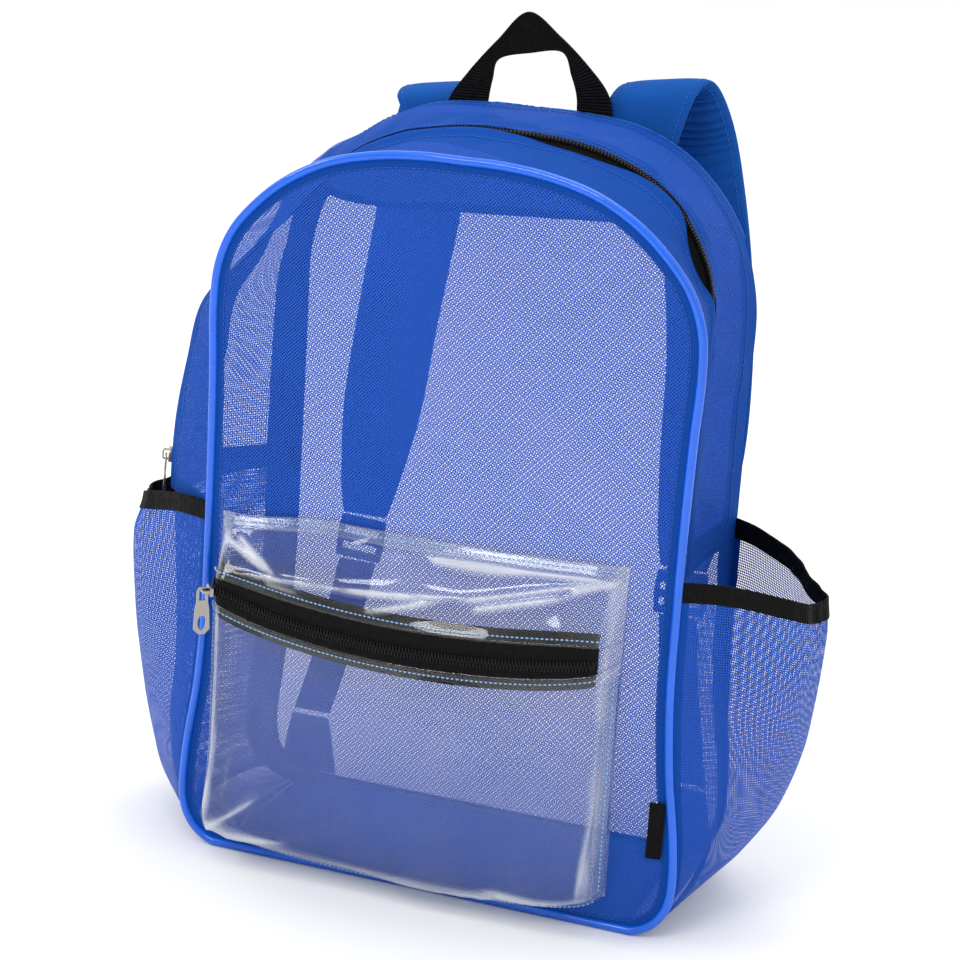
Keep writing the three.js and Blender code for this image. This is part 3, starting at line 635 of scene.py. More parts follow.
def make_piece(name, points, faces, uv, material, hem=None):
    """Mesh object from points in millimetres, quads and a UV map in millimetres, with a hem attribute, which
    on the clear sheets holds the strength of the painted highlight.
    """
    flat = points.reshape(-1, 3) * MM
    mesh = bpy.data.meshes.new(name)
    mesh.vertices.add(len(flat))
    mesh.vertices.foreach_set("co", flat.astype(np.float32).ravel())
    corners = faces.astype(np.int32).ravel()
    mesh.loops.add(len(corners))
    mesh.loops.foreach_set("vertex_index", corners)
    mesh.polygons.add(len(faces))
    mesh.polygons.foreach_set("loop_start", np.arange(0, len(corners), 4, dtype=np.int32))
    layer = mesh.uv_layers.new(name="cloth")
    layer.uv.foreach_set("vector", (uv.reshape(-1, 2) * MM)[corners].astype(np.float32).ravel())
    if hem is not None:
        depths = mesh.attributes.new("hem", "FLOAT", "POINT")
        depths.data.foreach_set("value", (hem.ravel() * MM).astype(np.float32))
    mesh.update(calc_edges=True)
    mesh.shade_smooth()
    piece = bpy.data.objects.new(name, mesh)
    bpy.context.scene.collection.objects.link(piece)
    mesh.materials.append(material)
    return piece


def make_sheet(name, points, material, thickness=None, hem=None, uv=None):
    """Sheet through a grid of points, thickened on both sides by Solidify except where it is open mesh."""
    if uv is None:
        uv = np.stack(grid_lengths(points), -1)
    piece = make_piece(name, points, grid_faces(*points.shape[:2]), uv, material, hem)
    if thickness is not None:
        wall = piece.modifiers.new("thickness", "SOLIDIFY")
        wall.thickness = thickness * MM
        wall.offset = 0
    return piece


def make_tube(name, points, material, uv=None):
    """Closed ring of sections: a grid that wraps both ways."""
    rows, columns = points.shape[:2]
    faces = outward_faces(points.reshape(-1, 3), grid_faces(rows, columns, True, True))
    if uv is None:
        uv = np.stack(grid_lengths(points), -1)
    return make_piece(name, points, faces, uv, material)


def make_loft(name, points, material):
    """Closed body through sections that wrap, its two ends closed by quads across each section."""
    rows, columns = points.shape[:2]
    j = np.arange(columns // 2 - 1)
    lid = np.stack([j, j + 1, columns - 2 - j, columns - 1 - j], -1)
    start = (rows - 1) * columns
    faces = np.vstack([grid_faces(rows, columns, False, True), lid, lid[:, ::-1] + start])
    faces = outward_faces(points.reshape(-1, 3), faces)
    along, across = grid_lengths(points)
    half = across[:, -1:] / 2
    return make_piece(name, points, faces, np.stack([along, np.abs(across - half)], -1), material)


def dress(piece, slot, *nodes, body="bag"):
    """Lets a piece ride on a body and stand for its CAD nodes, which it hides; the slot is not used."""
    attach(piece, body)
    if nodes:
        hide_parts(*nodes)
    return piece


def sew_sheet(name, points, material, dressing, thickness=None, hem=None, uv=None):
    """Sheet held in seams, made and dressed to ride on the bag and stand for a CAD node."""
    piece = dress(make_sheet(name, points, material, thickness, hem, uv), *dressing)
    return piece


def sew(name, slot, lines, material, length, pitch, radius):
    """Row of stitches on each line: six-sided beads, fattest in the middle, their ends sunk in the cloth.

    Length and pitch are in metres, the radius in millimetres.
    """
    length, pitch = length / MM, pitch / MM
    share = np.array([-0.5, -0.4, 0, 0.4, 0.5])
    fat = np.array([0.4, 0.85, 1, 0.85, 0.4]) * radius
    sink = np.array([-1.2, 0.1, 0.5, 0.1, -1.2]) * radius
    angle = np.arange(6) * np.pi / 3
    bodies = []
    for points, normals in lines:
        gone = line_lengths(points)
        at = np.arange(pitch / 2, gone[-1], pitch)
        spot = read_line(at, gone, points)
        along = unit(read_line(at + 0.5, gone, points) - read_line(at - 0.5, gone, points))
        away = unit(read_line(at, gone, normals))
        side = unit(np.cross(along, away))
        away = np.cross(side, along)
        ring = (
            spot[:, None, None]
            + along[:, None, None] * (share * length)[None, :, None, None]
            + away[:, None, None] * (sink[:, None] + fat[:, None] * np.sin(angle))[None, :, :, None]
            + side[:, None, None] * (fat[:, None] * np.cos(angle))[None, :, :, None]
        )
        bodies.append(ring)
    points = np.concatenate(bodies)
    count = len(points)
    shell = np.vstack([
        grid_faces(5, 6, False, True),
        [[0, 1, 2, 3], [0, 3, 4, 5]],
        [[27, 26, 25, 24], [29, 28, 27, 24]],
    ])
    shell = outward_faces(points[0].reshape(-1, 3), shell)
    faces = (shell[None] + (np.arange(count) * 30)[:, None, None]).reshape(-1, 4)
    uv = np.zeros((count * 30, 2))
    uv[:, 0] = np.tile(np.repeat(share * length, 6), count)
    uv[:, 1] = np.tile(np.tile(angle * radius, 5), count)
    return dress(make_piece(name, points.reshape(-1, 3), faces, uv, material), slot)


def make_coils(name, place, length, pitch, material):
    """Two interlocked nylon coils: helices of elliptic section either side of the zip's middle line."""
    turns = int(length / pitch)
    phase = np.arange(turns * COIL_POINTS) * (2 * np.pi / COIL_POINTS)
    wire_angle = np.arange(COIL_SIDES) * (2 * np.pi / COIL_SIDES)
    rings = []
    for side in (-1, 1):
        along = phase * pitch / (2 * np.pi) + (pitch / 2 if side > 0 else 0)
        centre_line = np.full_like(along, side * (COIL_REACH - COIL_OVERLAP))
        centre = place(along, centre_line + side * COIL_REACH * np.cos(phase), COIL_RISE * np.sin(phase))
        radial = unit(centre - place(along, centre_line, np.zeros_like(along)))
        run = unit(np.gradient(centre, axis=0))
        other = unit(np.cross(run, radial))
        section = radial[:, None] * np.cos(wire_angle)[:, None] + other[:, None] * np.sin(wire_angle)[:, None]
        rings.append((centre[:, None] + COIL_WIRE * section).reshape(-1, 3))
    rows = len(phase)
    lid = np.array([[0, 1, 2, 3], [0, 3, 4, 5]])
    far_lid = lid[:, ::-1] + (rows - 1) * COIL_SIDES
    faces = np.vstack([grid_faces(rows, COIL_SIDES, False, True), lid, far_lid])
    faces = np.vstack([outward_faces(ring, faces) + k * len(ring) for k, ring in enumerate(rings)])
    uv = np.zeros((2 * rows * COIL_SIDES, 2))
    uv[:, 0] = np.tile(np.repeat(phase * pitch, COIL_SIDES), 2)
    uv[:, 1] = np.tile(wire_angle * COIL_WIRE, 2 * rows)
    return make_piece(name, np.concatenate(rings), faces, uv, material)


def round_edges(piece, width, angle):
    """Rounds the edges of a piece that turn by more than an angle in degrees."""
    edge = piece.modifiers.new("rounded edges", "BEVEL")
    edge.width = width * MM
    edge.segments = 3
    edge.limit_method = "ANGLE"
    edge.angle_limit = math.radians(angle)
    return piece


def rounded_copy(name, node, width, material):
    """Copy of a hard CAD node with its triangles joined into flat faces and its edges rounded."""
    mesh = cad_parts[node].data.copy()
    mesh.name = name
    shape = bmesh.new()
    shape.from_mesh(mesh)
    bmesh.ops.remove_doubles(shape, verts=shape.verts, dist=0.00002)
    bmesh.ops.dissolve_limit(shape, angle_limit=math.radians(1), verts=shape.verts, edges=shape.edges)
    shape.to_mesh(mesh)
    shape.free()
    mesh.materials.clear()
    mesh.materials.append(material)
    piece = bpy.data.objects.new(name, mesh)
    bpy.context.scene.collection.objects.link(piece)
    return round_edges(piece, width, 25)


class Paint:
    """A material's node tree, with short calls that add nodes and join them."""

    def __init__(self, name):
        self.material = bpy.data.materials.new(name)
        self.material.use_nodes = True
        self.tree = self.material.node_tree
        self.tree.nodes.clear()
        self.output = self.tree.nodes.new("ShaderNodeOutputMaterial")

    def feed(self, socket, value):
        """Joins a socket to another one, or sets its value."""
        if isinstance(value, bpy.types.NodeSocket):
            self.tree.links.new(value, socket)
        else:
            socket.default_value = value

    def node(self, kind, inputs=None, **settings):
        """Adds a node with settings and inputs by name or number."""
        made = self.tree.nodes.new("ShaderNode" + kind)
        for key, value in settings.items():
            setattr(made, key, value)
        for key, value in (inputs or {}).items():
            self.feed(made.inputs[key], value)
        return made

    def math(self, operation, *values):
        """One step of arithmetic."""
        return self.node("Math", dict(enumerate(values)), operation=operation).outputs[0]

    def ramp(self, value, low, high, start=0.0, end=1.0):
        """Smooth change from start to end as the value goes from low to high."""
        inputs = {"Value": value, "From Min": low, "From Max": high, "To Min": start, "To Max": end}
        return self.node("MapRange", inputs, interpolation_type="SMOOTHSTEP").outputs[0]

    def cloth_uv(self):
        """Distances along and across the piece, in metres."""
        at = self.node("UVMap", uv_map="cloth").outputs[0]
        split = self.node("SeparateXYZ", {0: at})
        return at, split.outputs[0], split.outputs[1]

    def noise(self, vector, scale, detail=2.0):
        """Soft noise between 0 and 1."""
        inputs = {"Vector": vector, "Scale": scale, "Detail": detail}
        return self.node("TexNoise", inputs).outputs[0]

    def object_noise(self, scale, detail=2.0):
        """Soft noise over the object's own coordinates."""
        return self.noise(self.node("TexCoord").outputs["Object"], scale, detail)

    def attribute(self, name):
        """A number stored on the piece."""
        return self.node("Attribute", attribute_name=name).outputs["Fac"]

    def mix(self, share, low, high):
        """Colour between two colours."""
        made = self.node("Mix", data_type="RGBA")
        for socket, value in ((made.inputs[0], share), (made.inputs[6], low), (made.inputs[7], high)):
            self.feed(socket, value)
        return made.outputs[2]

    def bump(self, height, distance, strength=1.0):
        """Surface relief of a given depth."""
        inputs = {"Height": height, "Distance": distance, "Strength": strength}
        return self.node("Bump", inputs).outputs[0]

    def finish(self, inputs):
        """One Principled surface with these inputs."""
        return self.show(self.node("BsdfPrincipled", inputs).outputs[0])

    def blend(self, share, low, high):
        """Surface between two surfaces."""
        return self.node("MixShader", {0: share, 1: low, 2: high}).outputs[0]

    def show(self, surface):
        """Makes a surface the one that is seen."""
        self.tree.links.new(surface, self.output.inputs["Surface"])
        return self.material

    def drift(self, value, rate, reach):
        """Slow sideways sway of a thread along its length, as a sine."""
        return self.math("MULTIPLY", self.math("SINE", self.math("MULTIPLY", value, rate)), reach)

    def stripe(self, value, pitch):
        """1 on lines a pitch apart, falling to 0 midway between them."""
        away = self.math("PINGPONG", value, pitch / 2)
        return self.math("SUBTRACT", 1.0, self.math("MULTIPLY", away, 2 / pitch))


def shade(colour, factor):
    """A colour made lighter or darker."""
    return tuple(min(1.0, channel * factor) for channel in colour[:3]) + (1.0,)


def mesh_cloth(name, colour, hem_colour, pitch, coverage):
    """Open plain-weave mesh: threads both ways with holes between them, closed where the cloth is hemmed,
    with painted shade in the hem's holes.
    """
    paint = Paint(name)
    at, u, v = paint.cloth_uv()
    warp = paint.stripe(paint.math("ADD", u, paint.drift(v, 130.0, THREAD_SWAY * pitch)), pitch)
    weft = paint.stripe(paint.math("ADD", v, paint.drift(u, 110.0, THREAD_SWAY * pitch)), pitch)
    bare = math.sqrt(1 - coverage)
    edges = (bare - THREAD_EDGE, bare + THREAD_EDGE, HOLE_FILL, THREAD_FILL)
    warp_solid = paint.ramp(warp, *edges)
    weft_solid = paint.ramp(weft, *edges)
    weave = paint.math("MAXIMUM", warp_solid, weft_solid)
    hem = paint.ramp(paint.attribute("hem"), -0.0002, 0.0002)
    tone = paint.noise(at, 14.0, 2.0)
    body = paint.mix(tone, shade(colour, 0.88), shade(colour, 1.12))
    # Where hemmed, the holes are painted darker as the shaded layer of the fold beneath, and the threads
    # lighter.
    folded = paint.mix(weave, shade(hem_colour, 0.7), shade(hem_colour, 1.15))
    warp_relief = paint.math("MULTIPLY", warp, warp_solid)
    relief = paint.math("MULTIPLY_ADD", weft, weft_solid, warp_relief)
    cloth = paint.node("BsdfPrincipled", {
        "Base Color": paint.mix(hem, body, folded),
        "Roughness": paint.ramp(tone, 0.3, 0.7, 0.55, 0.68),
        "Specular IOR Level": 0.03,
        "Normal": paint.bump(relief, 0.0002, 0.5),
    }).outputs[0]
    hole = paint.node("BsdfTransparent", {"Color": (1.0, 1.0, 1.0, 1.0)}).outputs[0]
    return paint.show(paint.blend(paint.math("MAXIMUM", weave, hem), hole, cloth))


def twill_cloth(name, colour, pitch):
    """Closed twill: steep ribs along the piece broken by a finer cross thread, painted darker in the grooves
    and lighter on the ribs, with a slow change of tone.
    """
    paint = Paint(name)
    at, u, v = paint.cloth_uv()
    steep = paint.stripe(paint.math("MULTIPLY_ADD", u, 0.22, v), pitch)
    cross = paint.stripe(paint.math("MULTIPLY_ADD", v, -0.35, u), pitch * 0.7)
    tone = paint.noise(at, 22.0, 3.0)
    # Painted shade in the rib grooves and painted highlight on the ribs, following the relief.
    rib = paint.mix(steep, shade(colour, 0.6), shade(colour, 1.25))
    relief = paint.math("ADD", steep, paint.math("MULTIPLY", cross, 0.5))
    return paint.finish({
        "Base Color": paint.mix(paint.ramp(tone, 0.35, 0.75, 0.0, 0.3), rib, shade(colour, 1.3)),
        "Roughness": paint.ramp(tone, 0.3, 0.7, 0.6, 0.75),
        "Specular IOR Level": 0.08,
        "Normal": paint.bump(relief, 0.0003, 0.9),
    })


def gloss_cord(name, colour):
    """Glossy soft vinyl with faint waves along the cord."""
    paint = Paint(name)
    at, _, _ = paint.cloth_uv()
    tone = paint.noise(at, 40.0, 3.0)
    return paint.finish({
        "Base Color": paint.mix(tone, shade(colour, 0.82), shade(colour, 1.18)),
        "Roughness": paint.ramp(tone, 0.3, 0.7, 0.08, 0.13),
        "Specular IOR Level": 0.6,
        "Normal": paint.bump(paint.noise(at, 130.0, 2.0), 0.0003, 0.3),
    })


def ribbed_webbing(name, colour, rib, depth):
    """Woven black webbing: ribs across the run, finer threads along it, lighter flecks of lint, and painted
    highlight on the rib crests with painted shade in the grooves.
    """
    paint = Paint(name)
    at, u, v = paint.cloth_uv()
    ribs = paint.stripe(u, rib)
    threads = paint.stripe(v, rib * 0.55)
    relief = paint.math("ADD", ribs, paint.math("MULTIPLY", threads, 0.4))
    lint = paint.noise(at, 260.0, 3.0)
    # Painted highlight on the rib crests and painted shade in the grooves, following the relief.
    crest = paint.mix(paint.ramp(relief, 0.6, 1.4, 0.0, 0.7), shade(colour, 0.5), shade(colour, 2.6))
    return paint.finish({
        "Base Color": paint.mix(paint.ramp(lint, 0.55, 0.85, 0.0, 0.25), crest, shade(colour, 4.0)),
        "Roughness": paint.ramp(lint, 0.3, 0.7, 0.6, 0.78),
        "Specular IOR Level": 0.12,
        "Normal": paint.bump(relief, depth, 0.9),
    })


def nylon(name, colour, roughness):
    """Moulded nylon or plastic with a fine grain."""
    paint = Paint(name)
    grain = paint.object_noise(900.0, 3.0)
    tone = paint.object_noise(60.0, 2.0)
    return paint.finish({
        "Base Color": paint.mix(tone, shade(colour, 0.5), shade(colour, 1.3)),
        "Roughness": paint.ramp(grain, 0.3, 0.7, roughness - 0.06, roughness + 0.08),
        "Specular IOR Level": 0.2,
        "Normal": paint.bump(grain, 0.0001, 0.3),
    })


def nickel(name, colour):
    """Nickel plate: bright metal with faint polishing marks and duller patches."""
    paint = Paint(name)
    patch = paint.object_noise(240.0, 3.0)
    marks = paint.object_noise(1500.0, 2.0)
    return paint.finish({
        "Base Color": paint.mix(patch, shade(colour, 0.82), shade(colour, 1.05)),
        "Metallic": 1.0,
        "Roughness": paint.ramp(patch, 0.3, 0.7, 0.16, 0.3),
        "Normal": paint.bump(marks, 0.00006, 0.4),
    })


def sewing_thread(name, colour):
    """Twisted thread: slanting strands along each stitch, painted darker in the grooves between them."""
    paint = Paint(name)
    _, u, v = paint.cloth_uv()
    strand = paint.stripe(paint.math("ADD", u, v), 0.0006)
    # Painted shade in the grooves between strands: the colour follows the strand relief.
    return paint.finish({
        "Base Color": paint.mix(strand, shade(colour, 0.75), shade(colour, 1.15)),
        "Roughness": 0.6,
        "Normal": paint.bump(strand, 0.0001, 0.8),
    })


def clear_vinyl(name, tint, haze_and_highlight_colour, haze):
    """Clear sheet: seen through face on, mirror bright edge on, faintly hazy, and white with painted
    highlight along creases, folds and cut edges, as the hem attribute holds it.
    """
    paint = Paint(name)
    coords = paint.node("TexCoord").outputs["Object"]
    ripple = paint.bump(paint.noise(coords, 45.0, 1.0), 0.0005, 0.5)
    facing = paint.node("LayerWeight", {"Blend": 0.5, "Normal": ripple}).outputs["Facing"]
    mirror = paint.math("MULTIPLY_ADD", paint.math("POWER", facing, 4.0), 0.8, 0.03)
    through = paint.node("BsdfTransparent", {"Color": tint}).outputs[0]
    gloss_inputs = {"Color": (1.0, 1.0, 1.0, 1.0), "Roughness": 0.06, "Normal": ripple}
    film = paint.blend(mirror, through, paint.node("BsdfGlossy", gloss_inputs).outputs[0])
    cloudy = paint.noise(coords, 30.0, 3.0)
    # Painted highlight: white laid over the sheet along creases, folds and cut edges, as the hem attribute
    # holds it.
    painted_highlight = paint.ramp(paint.attribute("hem"), 0.0006, 0.0032, 0.0, 0.42)
    haze_and_highlight = paint.math("ADD", paint.ramp(cloudy, 0.35, 0.75, 0.4 * haze, 1.6 * haze), painted_highlight)
    white_inputs = {"Base Color": haze_and_highlight_colour, "Roughness": 0.3, "Normal": ripple}
    white = paint.node("BsdfPrincipled", white_inputs).outputs[0]
    return paint.show(paint.blend(haze_and_highlight, film, white))


def studio_floor(name, colour):
    """Matt pale floor with the faintest mottle."""
    paint = Paint(name)
    tone = paint.object_noise(3.0, 3.0)
    return paint.finish({
        "Base Color": paint.mix(tone, shade(colour, 0.985), shade(colour, 1.0)),
        "Roughness": 0.9,
        "Specular IOR Level": 0.1,
    })


def colour_property(name, description, default):
    """Colour field for the property groups."""
    return FloatVectorProperty(
        name=name, description=description, default=default, size=4, min=0.0, max=1.0, subtype="COLOR",
    )


def length_property(name, description, default):
    """Length field for the property groups, in metres."""
    return FloatProperty(
        name=name, description=description, default=default, min=0.0, unit="LENGTH", precision=5,
    )


def share_property(name, description, default):
    """Field from 0 to 1 for the property groups."""
    return FloatProperty(
        name=name, description=description, default=default, min=0.0, max=1.0, subtype="FACTOR",
    )


def angle_property(name, description, degrees):
    """Angle field for the property groups."""
    return FloatProperty(
        name=name, description=description, default=math.radians(degrees), subtype="ANGLE",
    )


def level_property(name, description, default):
    """Field from 0 up for the property groups."""
    return FloatProperty(name=name, description=description, default=default, min=0.0)


class BackpackColours(bpy.types.PropertyGroup):
    """Colours of the backpack's materials."""

    mesh: colour_property("Mesh", "Thread of the open mesh", (0.0245, 0.098, 0.5, 1.0))
    hem: colour_property("Hem", "Folded mesh along seams", (0.0073, 0.0625, 0.33, 1.0))
    twill: colour_property("Twill", "Closed cloth of straps and base", (0.007, 0.088, 0.38, 1.0))
    # The yoke colour is a lighter copy of the twill: painted light on the band seen inside the bag.
    yoke: colour_property("Yoke", "Closed band along the top of the back", (0.032, 0.165, 0.64, 1.0))
    piping: colour_property("Piping", "Glossy cord round the front", (0.001, 0.115, 0.72, 1.0))
    webbing: colour_property("Webbing", "Handle, elastic, tape and label", (0.003, 0.003, 0.0035, 1.0))
    coil: colour_property("Coil", "Zip teeth and plastic", (0.007, 0.007, 0.008, 1.0))
    metal: colour_property("Metal", "Sliders and pulls", (0.37, 0.35, 0.315, 1.0))
    vinyl: colour_property("Vinyl", "What the clear sheet lets through", (0.94, 0.955, 0.975, 1.0))
    # Haze also colours the clear sheet's painted highlights along its creases, folds and cut edges.
    haze: colour_property("Haze", "Milky edges and creases of the clear sheet", (0.86, 0.88, 0.92, 1.0))
    clear_thread: colour_property("Pocket thread", "Stitches on the clear sheet", (0.30, 0.56, 0.95, 1.0))
    blue_thread: colour_property("Blue thread", "Stitches on the cloth", (0.018, 0.10, 0.50, 1.0))
    floor: colour_property("Floor", "Studio floor", (0.93, 0.93, 0.93, 1.0))


class BackpackSizes(bpy.types.PropertyGroup):
    """Sizes of the backpack's cloth and sewing."""

    mesh_pitch: length_property("Mesh pitch", "Distance between neighbouring threads", 0.0015)
    twill_pitch: length_property("Twill pitch", "Distance between twill ribs", 0.0015)
    webbing_rib: length_property("Webbing rib", "Distance between webbing ribs", 0.0019)
    coil_pitch: length_property("Coil pitch", "Distance between zip teeth", 0.002)
    stitch_length: length_property("Stitch length", "Length of one stitch in cloth", 0.0029)
    stitch_pitch: length_property("Stitch pitch", "Distance between stitches in cloth", 0.0036)
    clear_stitch_length: length_property("Clear stitch length", "One stitch in the clear sheet", 0.0017)
    clear_stitch_pitch: length_property("Clear stitch pitch", "From stitch to stitch there", 0.0029)
    seam_band: length_property("Seam band", "Folded edge inside the piping", 0.0077)
    zip_hem: length_property("Zip hem", "Folded mesh beside the main zip", 0.015)
    back_band: length_property("Back band", "Folded mesh along the back seam", 0.020)
    coverage: share_property("Mesh coverage", "Share of the mesh that is thread", 0.555)
    side_coverage: share_property("Side coverage", "The same for the sides and their pockets", 0.68)


class BackpackStage(bpy.types.PropertyGroup):
    """Camera and light."""

    azimuth: angle_property("Azimuth", "Turn of the camera to the right of the front", 18.649)
    elevation: angle_property("Elevation", "Height angle of the camera", 16.328)
    roll: angle_property("Roll", "Turn of the camera about its view", 3.846)
    distance: length_property("Distance", "From the camera to its target", 1.575)
    target: FloatVectorProperty(
        name="Target", description="Point that the camera looks at",
        default=(0.001434, 0.0, 0.24367), subtype="TRANSLATION",
    )
    lens: FloatProperty(name="Lens", description="Focal length in millimetres", default=97.5, min=1.0)
    sky: level_property("Sky", "Brightness of the studio above and behind", 1.15)
    front_sky: level_property("Front sky", "Brightness of the studio in front", 0.4)
    light: level_property("Lamps", "Power factor of the soft boxes", 0.38)


def panel_points(ways, columns, v, inset, foot, surface_y, slant=None):
    """Panel in level rows: each runs from side to side of the outline set in by inset, on a domed surface.

    A slant gives each row a share of the yoke seam's tilt, which fades at the sides.
    """
    edge = seam(ways, v) - outward(ways, v) * inset
    x = edge[:, :1] * columns[None]
    z = np.maximum(edge[:, 2], foot)[:, None] + 0 * x
    if slant is not None:
        z = z + YOKE_SLANT * x * (1 - columns[None] ** 8) * slant[:, None]
    return np.stack([x, surface_y(x, z), z], -1)


def seam_distance(points, v):
    """Distance of each point to the seam line, seen from the front."""
    line = seam(np.linspace(0, WHOLE_WAY, 720), v)[:, [0, 2]]
    flat = points.reshape(-1, 1, 3)[..., [0, 2]]
    return np.sqrt(((flat - line[None]) ** 2).sum(-1).min(1)).reshape(points.shape[:2])


def turned(uv, degrees):
    """Flat coordinates turned by an angle."""
    angle = math.radians(degrees)
    turn = [[math.cos(angle), math.sin(angle)], [-math.sin(angle), math.cos(angle)]]
    return uv @ np.array(turn)


PANEL_WAYS = np.concatenate([
    np.linspace(116, 190, 18),
    np.linspace(194, 450, 66),
    np.linspace(453, HALF_WAY - 14, 50),
])


class BACKPACK_OT_panels(bpy.types.Operator):
    """Makes the front mesh, the back mesh and the closed yoke along its top."""

    bl_idname = "backpack.panels"
    bl_label = "Front, back and yoke"

    def execute(self, context):
        sizes = context.scene.backpack_sizes
        colours = context.scene.backpack_colours
        band = sizes.seam_band / MM
        columns = np.linspace(-1, 1, 97)
        # Painted light: the panels' mesh is a lighter copy of the side mesh colour.
        colour = shade(colours.mesh, PANEL_PAINTED_LIGHT)
        mesh = mesh_cloth("mesh", colour, colours.hem, sizes.mesh_pitch, sizes.coverage)
        # The yoke twill is painted lighter than the same twill on the straps: painted light.
        twill = twill_cloth("yoke twill", colours.yoke, sizes.twill_pitch)

        front = panel_points(PANEL_WAYS, columns, 0.0, PIPING_RADIUS - 0.6, PIPING_RADIUS + 1, front_y)
        away = seam_distance(front, 0.0)
        waves = wave_sum(PANEL_WAVES, front[..., 0], front[..., 2])
        front[..., 1] += FRONT_SLACK * (smooth_step(PANEL_HELD, PANEL_FREE, away) * waves)
        uv = turned(front[..., [0, 2]], FRONT_BIAS)
        dressing = ("mesh", "front_panel")
        sew_sheet("front_mesh", front, mesh, dressing, None, band - away, uv)

        yoke_way = float(way_at_height(YOKE_BOTTOM - 6))
        back_ways = np.append(PANEL_WAYS[PANEL_WAYS < yoke_way - 1], yoke_way + 1)
        yoke_ways = np.append(yoke_way - 1, PANEL_WAYS[PANEL_WAYS > yoke_way])
        slant = smooth_step(yoke_way - 60, yoke_way, back_ways)
        back = panel_points(back_ways, columns, 1.0, 0.2, 1.0, back_y, slant)
        away = seam_distance(back, 1.0)
        waves = wave_sum(PANEL_WAVES, back[..., 2], back[..., 0])
        back[..., 1] += BACK_SLACK * smooth_step(PANEL_HELD, PANEL_FREE, away) * waves
        fold = np.maximum(4 - away, 5 - (back[-1:, :, 2] - back[..., 2]))
        uv = turned(back[..., [0, 2]], BACK_BIAS)
        dressing = ("mesh", "back_panel")
        sew_sheet("back_mesh", back, mesh, dressing, None, fold, uv)

        slant = smooth_step(yoke_way + 40, yoke_way, yoke_ways)
        yoke = panel_points(yoke_ways, columns, 1.0, 0.2, 1.0, back_y, slant)
        raised = yoke + [0, YOKE_LIFT, 0]
        uv = yoke[..., [0, 2]]
        dressing = ("woven", "back_yoke")
        sew_sheet("yoke_cloth", raised, twill, dressing, YOKE_THICKNESS, None, uv)

        thread = sewing_thread("blue thread", colours.blue_thread)
        ways = np.linspace(0, WHOLE_WAY, 900)
        inner = seam(ways, 0.0) - outward(ways, 0.0) * (band - STITCH_INSET)
        inner[:, 2] = np.maximum(inner[:, 2], band - STITCH_INSET)
        inner[:, 1] = front_y(inner[:, 0], inner[:, 2]) - MESH_LIFT
        ahead = np.broadcast_to([0.0, -1.0, 0.0], inner.shape)
        hem_x = np.linspace(-128, 128, 200)
        hem_z = yoke[0, :1, 2] + 2.5 + YOKE_SLANT * hem_x * (1 - (hem_x / YOKE_FADE) ** 8)
        hem = np.stack([hem_x, back_y(hem_x, hem_z) + 2 * YOKE_LIFT, hem_z], -1)
        behind = np.broadcast_to([0.0, 1.0, 0.0], hem.shape)
        lines = [(inner, ahead), (hem, behind)]
        sew("panel_stitches", "woven", lines, thread, sizes.stitch_length, sizes.stitch_pitch, STITCH_RADIUS)
        return {"FINISHED"}


class BACKPACK_OT_piping(bpy.types.Operator):
    """Makes the glossy cord sewn into the seam all round the front panel."""

    bl_idname = "backpack.piping"
    bl_label = "Piping"

    def execute(self, context):
        ways = np.linspace(0, WHOLE_WAY, 561)[:-1]
        line = seam(ways, 0.0)
        line[:, 2] = np.maximum(line[:, 2], PIPING_RADIUS)
        run = unit(np.roll(line, -1, axis=0) - np.roll(line, 1, axis=0))
        side = unit(np.cross(run, [0.0, 1.0, 0.0]))
        front = np.cross(side, run)
        angle = np.linspace(0, 2 * np.pi, 17)[:-1]
        ring = side[:, None] * np.cos(angle)[:, None] + front[:, None] * np.sin(angle)[:, None]
        points = line[:, None] + PIPING_RADIUS * ring
        cord = gloss_cord("piping vinyl", context.scene.backpack_colours.piping)
        dress(make_tube("piping_cord", points, cord), "piping", "front_piping")
        return {"FINISHED"}


def gusset_hem(points, ways, first, last, ends):
    """Depth inside the folded edges of a gusset piece: at its first column, last column and both ends."""
    _, across = grid_lengths(points)
    far = across[:, -1:] - across
    end = np.minimum(ways - ways[0], ways[-1] - ways)[:, None] * np.sign(ways[-1] - ways[0])
    return np.maximum(np.maximum(first - across, last - far), ends - np.abs(end))


